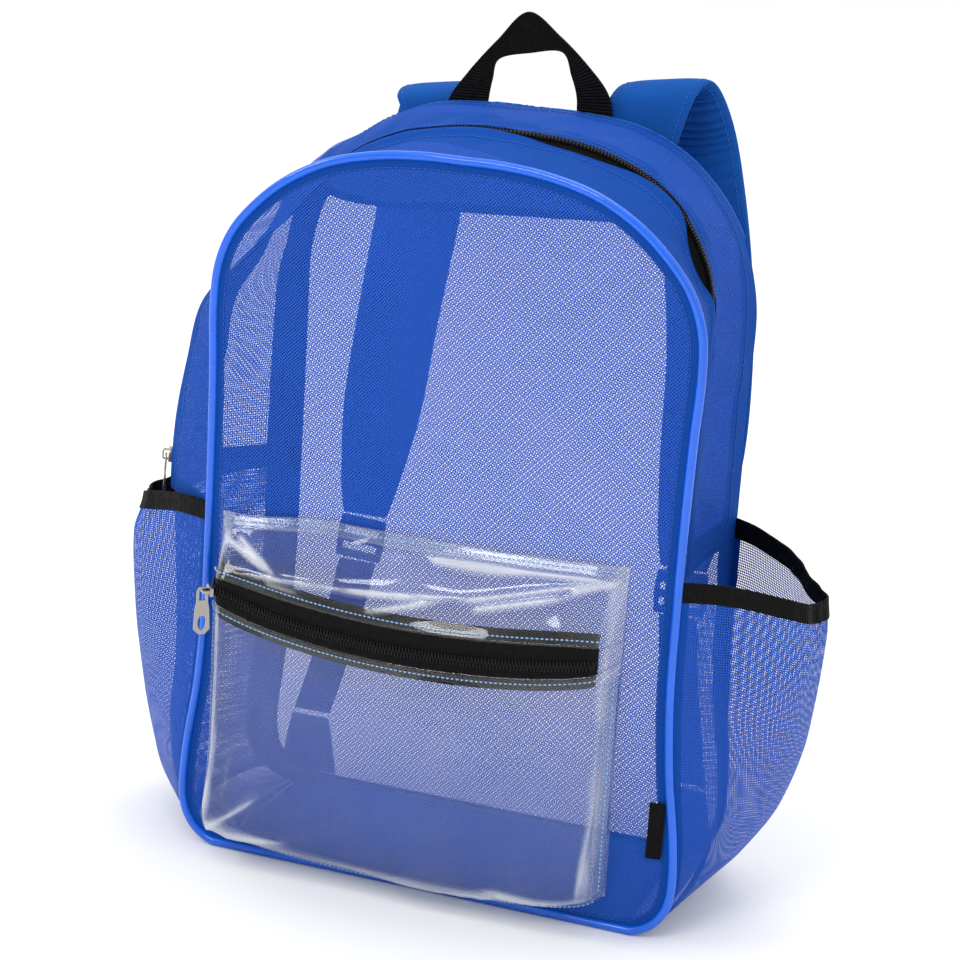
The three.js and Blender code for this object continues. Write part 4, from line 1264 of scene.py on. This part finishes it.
class BACKPACK_OT_gusset(bpy.types.Operator):
    """Makes the mesh strips beside the main zip, the sides below it and the closed base."""

    bl_idname = "backpack.gusset"
    bl_label = "Gusset, sides and base"

    def execute(self, context):
        sizes = context.scene.backpack_sizes
        colours = context.scene.backpack_colours
        zip_hem = sizes.zip_hem / MM
        back_band = sizes.back_band / MM
        edge_band = sizes.seam_band / MM - PIPING_RADIUS
        mesh = mesh_cloth("gusset mesh", colours.mesh, colours.hem, sizes.mesh_pitch, sizes.side_coverage)
        ways = np.linspace(WAY_ZIP_END - 1, WHOLE_WAY - WAY_ZIP_END + 1, 300)

        points = strip_points(ways, V_EDGE, -1, 1 - np.linspace(1, 0, 24) ** 1.4)
        rightness = smooth_step(HALF_WAY + STRIP_HEM_BLEND, HALF_WAY - STRIP_HEM_BLEND, ways)[:, None]
        hem = gusset_hem(points, ways, edge_band, zip_hem + FRONT_STRIP_HEM * rightness, STRIP_END_HEM)
        dressing = ("mesh", "gusset_front_strip")
        sew_sheet("gusset_front_mesh", points, mesh, dressing, None, hem)

        points = strip_points(ways, 1.0, 1, 1 - np.linspace(1, 0, 36) ** 1.4)[:, ::-1]
        hem = gusset_hem(points, ways, zip_hem + BACK_STRIP_HEM * (1 - rightness), back_band, STRIP_END_HEM)
        dressing = ("mesh", "gusset_back_strip")
        sew_sheet("gusset_back_mesh", points, mesh, dressing, None, hem)

        columns = np.linspace(V_EDGE, 1.0, 46)
        side_ways = np.linspace(BASE_REACH - 6, WAY_ZIP_END + 5, 92)
        for side, place in (("right", side_ways), ("left", to_left(side_ways))):
            points = gusset(place[:, None], columns[None], -0.9)
            hem = gusset_hem(points, place, edge_band, back_band, SIDE_END_HEM)
            dressing = ("mesh", f"side_panel_{side}")
            sew_sheet(f"side_mesh_{side}", points, mesh, dressing, None, hem)

        base_ways = np.linspace(-BASE_REACH, BASE_REACH, 60)
        points = gusset(base_ways[:, None], np.linspace(V_EDGE, 1.0, 30)[None], -0.8)
        twill = twill_cloth("base twill", colours.twill, sizes.twill_pitch)
        dressing = ("woven", "base_panel")
        sew_sheet("base_cloth", points, twill, dressing, BASE_THICKNESS)

        thread = sewing_thread("gusset thread", colours.blue_thread)
        lines = []
        for v in (ZIP_LINE - 0.085, ZIP_LINE + 0.075, 1 - back_band * 0.72 / 150):
            lines.append((gusset(ways, v, -0.2 - mouth_sink(ways, v)), outward(ways, v)))
        length, pitch = sizes.stitch_length, sizes.stitch_pitch
        sew("gusset_stitches", "woven", lines, thread, length, pitch, GUSSET_STITCH_RADIUS)
        return {"FINISHED"}


def pocket_mouth(v):
    """Height of a side pocket's mouth, which sags in the middle."""
    return POCKET_TOP - POCKET_SAG * np.sin(np.pi * v) ** 2


def pocket_points(place, low, high, rise, v, gather):
    """Pocket wall: the swollen gusset between two ways, with sine gathers that grow with the gather share."""
    start = V_EDGE
    across = (v - start) / (1 - start)
    fade = np.sin(np.pi * np.clip(across, 0, 1))
    held = smooth_step(0, 0.06, across) * smooth_step(1, 0.94, across)
    wide = np.sin(2 * np.pi * GATHER_COUNT * across)
    fine = np.sin(2 * np.pi * 11 * across + 0.8) + 0.6 * np.sin(2 * np.pi * 17 * across + 2.3)
    lift = lerp(-0.6, POCKET_SEAM_GAP + BINDING_THICKNESS / 2, held)
    folds = GATHER_DEPTH * gather ** 3 * wide + 0.5 * gather ** 6 * fine
    return gusset(place(lerp(low, high, rise)), v, lift + fade * folds, True)


class BACKPACK_OT_side_pockets(bpy.types.Operator):
    """Makes the gathered mesh pockets on both sides and the elastic round their mouths."""

    bl_idname = "backpack.side_pockets"
    bl_label = "Side pockets"

    def execute(self, context):
        sizes = context.scene.backpack_sizes
        colours = context.scene.backpack_colours
        mesh = mesh_cloth("pocket mesh", colours.mesh, colours.hem, sizes.mesh_pitch, sizes.side_coverage)
        elastic = ribbed_webbing("elastic", colours.webbing, sizes.webbing_rib, 0.0004)
        v = np.linspace(V_EDGE, 1.0, 121)[None]
        rise = np.linspace(0, 1, 70)[:, None] ** 0.9
        mouth = pocket_mouth(v)
        foot = float(way_at_height(POCKET_FOOT))
        for side, place in (("right", np.asarray), ("left", to_left)):
            top = way_at_height(mouth - BINDING_HEIGHT + POCKET_OVERLAP)
            points = pocket_points(place, foot, top, rise, v, rise)
            along, across = grid_lengths(points)
            nearer = np.minimum(across, across[:, -1:] - across)
            hem = np.maximum(POCKET_SIDE_HEM - nearer, POCKET_FOOT_HEM - along)
            dressing = ("mesh", f"side_pocket_{side}")
            sew_sheet(f"pocket_mesh_{side}", points, mesh, dressing, None, hem)

            height = np.linspace(0, 1, 9)[:, None]
            low = way_at_height(mouth - BINDING_HEIGHT)
            band = pocket_points(place, low, way_at_height(mouth), height, v, np.ones_like(height))
            uv = np.stack(grid_lengths(band)[::-1], -1)
            piece = make_sheet(f"pocket_elastic_{side}", band, elastic, BINDING_THICKNESS, None, uv)
            dress(round_edges(piece, ELASTIC_ROUND, 30), "black_webbing", f"pocket_binding_{side}")
        return {"FINISHED"}


class BACKPACK_OT_zips(bpy.types.Operator):
    """Makes the tapes and interlocked coils of the main zip and of the pocket zip."""

    bl_idname = "backpack.zips"
    bl_label = "Zips"

    def execute(self, context):
        sizes = context.scene.backpack_sizes
        colours = context.scene.backpack_colours
        tape = ribbed_webbing("zip tape", colours.webbing, 0.0011, 0.0002)
        teeth = nylon("zip coil", colours.coil, 0.25)
        pitch = sizes.coil_pitch / MM

        ways = np.linspace(WAY_ZIP_END - 4, WHOLE_WAY - WAY_ZIP_END + 4, 320)
        half = (ZIP_TAPE_WIDTH / 2 + ZIP_TAPE_UNDER) / DEPTH
        columns = np.linspace(ZIP_LINE - half, ZIP_LINE + half, 9)
        points = gusset(ways[:, None], columns[None], -TAPE_SINK - mouth_sink(ways[:, None], columns[None]))
        dress(make_sheet("main_tape", points, tape, TAPE_THICKNESS), "black_webbing", "main_zip_tape")

        def main_line(along, across, up):
            return gusset(WAY_ZIP_END + along, ZIP_LINE + across / DEPTH, COIL_LIFT + up)

        coils = make_coils("main_coil", main_line, WHOLE_WAY - 2 * WAY_ZIP_END, pitch, teeth)
        dress(coils, "coil", "main_zip_coil")

        x = np.concatenate([
            np.linspace(VINYL_LEFT, VINYL_LEFT + VINYL_ROUND, 30),
            np.linspace(VINYL_LEFT + VINYL_ROUND + 2, VINYL_RIGHT - VINYL_ROUND - 2, 130),
            np.linspace(VINYL_RIGHT - VINYL_ROUND, VINYL_ZIP_RIGHT, 14),
        ])[:, None]
        edge = np.array([0, 0.3, 0.6, 0.9])
        reach = np.concatenate([-1 - edge[::-1] - 0.1, np.linspace(-1, 1, 13), 1.1 + edge])[None]
        under = np.clip(np.abs(reach) - 1, 0, 1)
        z = zip_middle(x) + zip_half(x) * np.clip(reach, -1, 1) + np.sign(reach) * VINYL_ZIP_FLAP * under
        points = vinyl_point(x, z, VINYL_ZIP_TAPE / 2 - 1.2 * smooth_step(0, 0.1, under))
        dress(make_sheet("pocket_tape", points, tape, TAPE_THICKNESS), "black_webbing", "pocket_zip_tape")

        fine = np.linspace(VINYL_LEFT + 1, VINYL_ZIP_RIGHT, 3000)
        route = vinyl_point(fine, zip_teeth(fine), 0.0)
        gone = line_lengths(route)

        def pocket_line(along, across, up):
            at = np.interp(along, gone, fine)
            return vinyl_point(at, zip_teeth(at) + across, 1.5 + up)

        coils = make_coils("pocket_coil", pocket_line, gone[-1] - pitch, pitch, teeth)
        dress(coils, "coil", "pocket_zip_coil")
        return {"FINISHED"}


class BACKPACK_OT_sliders(bpy.types.Operator):
    """Makes both nickel sliders and their swinging pulls."""

    bl_idname = "backpack.sliders"
    bl_label = "Sliders and pulls"

    def execute(self, context):
        metal = nickel("nickel", context.scene.backpack_colours.metal)
        for name, node, body in (
            ("main_runner", "main_slider", "bag"),
            ("pocket_runner", "pocket_slider", "bag"),
            ("main_tab", "main_pull", "main_pull"),
            ("pocket_tab", "pocket_pull", "pocket_pull"),
        ):
            dress(rounded_copy(name, node, METAL_ROUND, metal), "silver", node, body=body)
        return {"FINISHED"}


def vinyl_sheet_points(x, low, high, share, lift):
    """Clear sheet between two heights, waved and creased where it is free, and how much painted highlight
    each point gets.
    """
    z = lerp(low(x), high(x), share)
    x = x + 0 * z
    creases = vinyl_creases(x, z)
    free = vinyl_slack(x, z)
    bulge = free * (creases + wave_sum(VINYL_WAVES, x, z))
    # Painted highlight along the creases where the sheet is free, and along the side and foot folds.
    return vinyl_point(x, z, lift + bulge), free * creases + vinyl_rim_highlight(x, z)


VINYL_X = np.concatenate([
    np.linspace(VINYL_LEFT, VINYL_LEFT + VINYL_ROUND, 16),
    np.linspace(VINYL_LEFT + VINYL_ROUND + 2, VINYL_RIGHT - VINYL_ROUND - 2, 118),
    np.linspace(VINYL_RIGHT - VINYL_ROUND, VINYL_RIGHT, 16),
])


class BACKPACK_OT_clear_pocket(bpy.types.Operator):
    """Makes the clear sheets of the front pocket, their folded hems and their stitches."""

    bl_idname = "backpack.clear_pocket"
    bl_label = "Clear pocket"

    def execute(self, context):
        sizes = context.scene.backpack_sizes
        colours = context.scene.backpack_colours
        vinyl = clear_vinyl("clear vinyl", colours.vinyl, colours.haze, CLEAR_HAZE)
        folded = clear_vinyl("folded vinyl", colours.vinyl, colours.haze, FOLDED_HAZE)
        x = VINYL_X[:, None]
        middle = VINYL_SHEET / 2
        lower_rows = np.concatenate([np.linspace(0, 0.1, 12), np.linspace(0.11, 1, 70)])[None]
        upper_rows = np.linspace(0, 1, 34)[None]
        end_x = np.linspace(VINYL_ZIP_RIGHT + GAP, VINYL_RIGHT, 12)[:, None]
        end_rows = np.linspace(0, 1, 10)[None]
        for part, place, low, high, rows in (
            ("lower", x, vinyl_foot, zip_low, lower_rows),
            ("upper", x, zip_high, vinyl_top, upper_rows),
            ("zip_end", end_x, zip_low, zip_high, end_rows),
        ):
            points, creases = vinyl_sheet_points(place, low, high, rows, middle)
            # The creases value goes to the hem attribute as the strength of the painted highlight.
            piece = make_sheet(f"clear_{part}", points, vinyl, VINYL_WALL, creases)
            dress(piece, "clear", f"vinyl_{part}")

        hem_lift = VINYL_SHEET + VINYL_HEM_RISE
        inset = np.linspace(0, 1, 5)[None]
        level = np.linspace(0, 1, 120)[:, None]
        along = VINYL_X[2:-2, None]
        hems = {
            "clear_hem_top": vinyl_point(along, vinyl_top(along) - 8 + 7.5 * inset, hem_lift),
            "clear_hem_foot": vinyl_point(along, vinyl_foot(along) + 0.5 + 3.5 * inset, hem_lift),
        }
        for name, edge, way in (("right", VINYL_RIGHT, -1), ("left", VINYL_LEFT, 1)):
            at = edge + way * (0.5 + 5 * inset)
            z = lerp(vinyl_foot(at) + 6, zip_low(at) - 8, level)
            hems[f"clear_hem_{name}"] = vinyl_point(at, z, hem_lift)
        for name, points in hems.items():
            # Painted highlight along both cut edges of each hem strip.
            edge_highlight = np.zeros(points.shape[:2])
            edge_highlight[:, [0, -1]] = VINYL_HEM_EDGE_HIGHLIGHT
            dress(make_sheet(name, points, folded, VINYL_HEM_WALL, edge_highlight), "clear")

        line_x = VINYL_X[4:-4]
        zip_x = np.append(line_x[line_x < VINYL_ZIP_RIGHT - 2], VINYL_ZIP_RIGHT)
        rows = [
            (zip_x, zip_low(zip_x) - ZIP_STITCH_GAP),
            (zip_x, zip_high(zip_x) + ZIP_STITCH_GAP),
            (line_x, vinyl_top(line_x) - 4),
            (line_x, vinyl_foot(line_x) + 2.6),
        ]
        for edge in (VINYL_RIGHT - 2.5, VINYL_LEFT + 2.5):
            z = np.linspace(float(vinyl_foot(edge)) + 8, float(zip_low(edge)) - 6, 120)
            rows.append((edge + 0 * z, z))
        lines = [(vinyl_point(a, z, hem_lift + 0.3), vinyl_normal(a, z)) for a, z in rows]
        thread = sewing_thread("pocket thread", colours.clear_thread)
        length, pitch = sizes.clear_stitch_length, sizes.clear_stitch_pitch
        sew("clear_stitches", "clear", lines, thread, length, pitch, CLEAR_STITCH_RADIUS)
        return {"FINISHED"}


class BACKPACK_OT_handle(bpy.types.Operator):
    """Makes the folded webbing loop at the top."""

    bl_idname = "backpack.handle"
    bl_label = "Handle"

    def execute(self, context):
        sizes = context.scene.backpack_sizes
        colour = shade(context.scene.backpack_colours.webbing, HANDLE_TONE)
        webbing = ribbed_webbing("handle webbing", colour, sizes.webbing_rib, 0.00045)
        row = table_curve(HANDLE, np.linspace(0, 9, 180))
        across = np.linspace(0, 1, 25)[None]
        x = HANDLE_MIDDLE + lerp(row[:, 3:4], row[:, 1:2], across)
        z = lerp(row[:, 4:5], row[:, 2:3], across)
        height = np.clip((z - 460) / 58, 0, 1)
        y = HANDLE_Y + 0.5 * np.sin(np.pi * across) * height
        points = np.stack([x, y, z], -1)
        widest = np.linalg.norm(points[:, -1] - points[:, 0], axis=1)[:, None]
        along, _ = grid_lengths(points)
        uv = np.stack([along, widest * across], -1)
        piece = make_sheet("handle_loop", points, webbing, WEBBING_THICKNESS, None, uv)
        dress(round_edges(piece, HANDLE_ROUND, 30), "black_webbing", "handle")
        return {"FINISHED"}


def strap_line(run, side):
    """Middle line of a shoulder strap; the left crest stands lower and the right strap hangs further out."""
    row = table_curve(STRAP, run)
    crest = STRAP_CREST_LEFT if side < 0 else 0.0
    spread = STRAP_SPREAD_LEFT if side < 0 else STRAP_SPREAD_RIGHT
    x = row[..., 1] + spread * np.sin(np.pi * np.clip((run - 2) / 8, 0, 1))
    return np.stack([side * x, row[..., 2], row[..., 3] + crest * crest_share(row) ** 2], -1)


def crest_share(row):
    """0 below the strap's seam, 1 at its crest."""
    return np.maximum(0, (row[..., 3] - STRAP[0][3]) / (STRAP[3][3] - STRAP[0][3]))


def strap_frame(run, side):
    """Table rows, middle line, width and face directions along a strap; the crest tilts to the right."""
    row = table_curve(STRAP, run)
    along = unit(strap_line(run + 0.02, side) - strap_line(run - 0.02, side))
    tilt = STRAP_TILT * crest_share(row)
    width = unit(np.stack([np.ones_like(tilt), np.zeros_like(tilt), tilt], -1))
    return row, strap_line(run, side), width, unit(np.cross(along, width))


def strap_points(side):
    """Padded section along the strap: thickness falls as 1 - 0.6 a^4 to a rounded rim, pleated inside."""
    run = np.linspace(0, 11, 520)
    row, middle, width, face = strap_frame(run, side)
    a = np.array([0, 0.12, 0.25, 0.38, 0.5, 0.61, 0.71, 0.79, 0.86, 0.91, 0.945, 0.97, 0.985, 0.996])
    half = np.concatenate([-a[::-1], a[1:]])
    rim = np.sqrt(np.clip(1 - ((np.abs(half) - 0.94) / 0.06).clip(0, 1) ** 2, 0, 1))
    thick = row[:, 5:6] * ((1 - 0.6 * half ** 4) * rim)[None]
    crest = (smooth_step(2.2, 3.2, run) * smooth_step(7.0, 4.8, run))[:, None]
    slope = 0.3 * half[None] + 0.12 * np.sin(3 * half[None] + 2 * run[:, None])
    wrinkle = np.sin(2 * np.pi * (2.6 * run[:, None] + slope) + 1.1 * np.sin(5 * run)[:, None])
    pleat = STRAP_PLEAT * crest * np.abs(wrinkle) ** 0.7 * (1 - half ** 4)[None]
    spot = middle[:, None] + width[:, None] * (row[:, 4:5] * half[None])[..., None]
    inner = spot + face[:, None] * (thick / 2 + pleat - 0.5 * STRAP_PLEAT * crest)[..., None]
    outer = spot - face[:, None] * (thick / 2)[..., None]
    return np.concatenate([inner, outer[:, ::-1]], axis=1)


def strap_stitch_lines(side):
    """Topstitch lines on both faces of a strap, inside its two edges."""
    run = np.linspace(0.15, 10.7, 260)
    row, middle, width, face = strap_frame(run, side)
    lines = []
    for share in (-STRAP_STITCH_SHARE, STRAP_STITCH_SHARE):
        spot = middle + width * (share * row[:, 4:5])
        lift = row[:, 5:6] * (1 - 0.6 * share ** 4) / 2
        for way in (-1, 1):
            lines.append((spot + way * face * lift, way * face))
    return lines


class BACKPACK_OT_straps(bpy.types.Operator):
    """Makes the padded shoulder straps, their lower webbing, adjusters and corner tabs."""

    bl_idname = "backpack.straps"
    bl_label = "Shoulder straps"

    def execute(self, context):
        sizes = context.scene.backpack_sizes
        colours = context.scene.backpack_colours
        twill = twill_cloth("strap twill", colours.twill, sizes.twill_pitch)
        webbing = ribbed_webbing("strap webbing", colours.webbing, sizes.webbing_rib, 0.0004)
        plastic = nylon("adjuster plastic", colours.coil, 0.45)
        thread = sewing_thread("strap thread", colours.blue_thread)
        lines = []
        for name, side in (("right", 1), ("left", -1)):
            pad = make_loft(f"strap_pad_{name}", strap_points(side), twill)
            dress(pad, "woven", f"shoulder_strap_{name}")
            lines += strap_stitch_lines(side)

            row = table_curve(LOWER_WEBBING, np.linspace(0, 3, 60))
            across = np.linspace(-1, 1, 13)[None] * WEBBING_WIDTH / 2
            x = side * row[:, 1:2] + across
            points = np.stack([x, row[:, 2:3] + 0 * x, row[:, 3:4] + 0 * x], -1)
            piece = make_sheet(f"strap_tail_{name}", points, webbing, TAIL_THICKNESS)
            dress(piece, "black_webbing", f"strap_webbing_{name}")

            piece = rounded_copy(f"adjuster_{name}", f"strap_adjuster_{name}", PLASTIC_ROUND, plastic)
            dress(piece, "buckle", f"strap_adjuster_{name}")

            low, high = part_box(f"strap_anchor_{name}")
            up = np.linspace(0, 1, 30)[:, None]
            a = np.linspace(-1, 1, 30)[None]
            half = lerp(20, 13, up)
            x = side * TAB_MIDDLE + half * a
            z = lerp(low.z, high.z, up) / MM + 0 * x
            pillow = 0.5 * (1 - a ** 4) * (1 - (2 * up - 1) ** 4)
            y = (low.y + high.y) / 2 / MM + pillow
            points = np.stack([x, y + 0 * x, z], -1)
            piece = make_sheet(f"corner_tab_{name}", points, twill, TAB_THICKNESS)
            dress(piece, "woven", f"strap_anchor_{name}")
        sew("strap_stitches", "woven", lines, thread, sizes.stitch_length, sizes.stitch_pitch, STITCH_RADIUS)
        return {"FINISHED"}


class BACKPACK_OT_label(bpy.types.Operator):
    """Makes the blank folded label in the right piping seam."""

    bl_idname = "backpack.label"
    bl_label = "Seam label"

    def execute(self, context):
        satin = ribbed_webbing("label satin", context.scene.backpack_colours.webbing, 0.0006, 0.0001)
        low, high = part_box("seam_label")
        x = np.linspace(low.x, high.x, 14)[:, None] / MM
        z = np.linspace(low.z, high.z, 40)[None] / MM
        share = (x - x[0]) / (x[-1] - x[0])
        y = (low.y + high.y) / 2 / MM + 0.7 * share ** 2 - 0.9 * (1 - share) ** 2 + 0.3 * np.sin(z / 9)
        points = np.stack([x + 0 * z, y, z + 0 * x], -1)
        dress(make_sheet("blank_label", points, satin, LABEL_THICKNESS), "black_webbing", "seam_label")
        return {"FINISHED"}


class BACKPACK_OT_stage(bpy.types.Operator):
    """Makes the camera, the pale floor and the soft lights."""

    bl_idname = "backpack.stage"
    bl_label = "Stage"

    def execute(self, context):
        scene = context.scene
        stage = scene.backpack_stage
        turn, tip, roll = stage.azimuth, stage.elevation, stage.roll
        back = Vector((math.sin(turn) * math.cos(tip), -math.cos(turn) * math.cos(tip), math.sin(tip)))
        level = (-back).cross(Vector((0, 0, 1))).normalized()
        upright = level.cross(-back)
        right = level * math.cos(roll) + upright * math.sin(roll)
        up = upright * math.cos(roll) - level * math.sin(roll)
        lens = bpy.data.cameras.new("photo camera")
        lens.lens = stage.lens
        lens.sensor_width = 36.0
        lens.clip_end = 60.0
        camera = bpy.data.objects.new("photo camera", lens)
        scene.collection.objects.link(camera)
        place = Matrix((right, up, back)).transposed().to_4x4()
        place.translation = Vector(stage.target) + back * stage.distance
        camera.matrix_world = place
        scene.camera = camera

        corners = FLOOR_REACH * np.array([[-1.0, -1, 0], [1, -1, 0], [1, 1, 0], [-1, 1, 0]])
        ground = make_piece(
            "floor", corners / MM, np.array([[0, 1, 2, 3]]), corners[:, :2] / MM,
            studio_floor("studio floor", scene.backpack_colours.floor),
        )

        world = bpy.data.worlds.new("white studio")
        world.use_nodes = True
        tree = world.node_tree
        sky = tree.nodes["Background"]
        sky.inputs["Color"].default_value = (1.0, 1.0, 1.0, 1.0)
        lean = tree.nodes.new("ShaderNodeVectorMath")
        lean.operation = "DOT_PRODUCT"
        lean.inputs[1].default_value = (0.0, 0.55, 0.835)
        tree.links.new(tree.nodes.new("ShaderNodeTexCoord").outputs["Generated"], lean.inputs[0])
        level = tree.nodes.new("ShaderNodeMapRange")
        level.interpolation_type = "SMOOTHSTEP"
        limits = {"From Min": -0.6, "From Max": 0.6, "To Min": stage.front_sky, "To Max": stage.sky}
        for name, value in limits.items():
            level.inputs[name].default_value = value
        tree.links.new(lean.outputs["Value"], level.inputs["Value"])
        tree.links.new(level.outputs["Result"], sky.inputs["Strength"])
        scene.world = world
        for name, spot, wide, tall, power in LAMPS:
            lamp = bpy.data.lights.new(name, "AREA")
            lamp.shape = "RECTANGLE"
            lamp.size = wide
            lamp.size_y = tall
            lamp.energy = power * stage.light
            box = bpy.data.objects.new(name, lamp)
            scene.collection.objects.link(box)
            aim = (Vector(spot) - LAMP_AIM).to_track_quat("Z", "Y").to_matrix().to_4x4()
            aim.translation = Vector(spot)
            box.matrix_world = aim
        scene.cycles.caustics_reflective = False
        scene.cycles.caustics_refractive = False
        scene.cycles.max_bounces = 4
        scene.cycles.diffuse_bounces = 2
        scene.cycles.glossy_bounces = 2
        scene.cycles.transparent_max_bounces = 64
        scene.view_settings.view_transform = "Standard"
        scene.view_settings.look = "None"
        return {"FINISHED"}


STEPS = (
    BACKPACK_OT_stage,
    BACKPACK_OT_panels,
    BACKPACK_OT_piping,
    BACKPACK_OT_gusset,
    BACKPACK_OT_side_pockets,
    BACKPACK_OT_zips,
    BACKPACK_OT_sliders,
    BACKPACK_OT_clear_pocket,
    BACKPACK_OT_handle,
    BACKPACK_OT_straps,
    BACKPACK_OT_label,
)


class BACKPACK_PT_sidebar(bpy.types.Panel):
    """Lists the backpack's steps, sizes and colours."""

    bl_idname = "BACKPACK_PT_sidebar"
    bl_label = "Mesh backpack"
    bl_space_type = "VIEW_3D"
    bl_region_type = "UI"
    bl_category = "Backpack"

    def draw(self, context):
        for step in STEPS:
            self.layout.operator(step.bl_idname)
        for group in ("backpack_sizes", "backpack_colours", "backpack_stage"):
            values = getattr(context.scene, group)
            box = self.layout.box()
            for field in values.__annotations__:
                box.prop(values, field)


GROUPS = (BackpackColours, BackpackSizes, BackpackStage)
CLASSES = GROUPS + STEPS + (BACKPACK_PT_sidebar,)


def register():
    """Registers the classes and hangs the property groups on the scene."""
    for made in CLASSES:
        bpy.utils.register_class(made)
    bpy.types.Scene.backpack_colours = PointerProperty(type=BackpackColours)
    bpy.types.Scene.backpack_sizes = PointerProperty(type=BackpackSizes)
    bpy.types.Scene.backpack_stage = PointerProperty(type=BackpackStage)


def unregister():
    """Takes the property groups and classes away again."""
    del bpy.types.Scene.backpack_stage
    del bpy.types.Scene.backpack_sizes
    del bpy.types.Scene.backpack_colours
    for made in reversed(CLASSES):
        bpy.utils.unregister_class(made)


def main():
    """Makes every piece in order."""
    register()
    bpy.ops.backpack.stage()
    bpy.ops.backpack.panels()
    bpy.ops.backpack.piping()
    bpy.ops.backpack.gusset()
    bpy.ops.backpack.side_pockets()
    bpy.ops.backpack.zips()
    bpy.ops.backpack.sliders()
    bpy.ops.backpack.clear_pocket()
    bpy.ops.backpack.handle()
    bpy.ops.backpack.straps()
    bpy.ops.backpack.label()


if __name__ == "__main__":
    main()
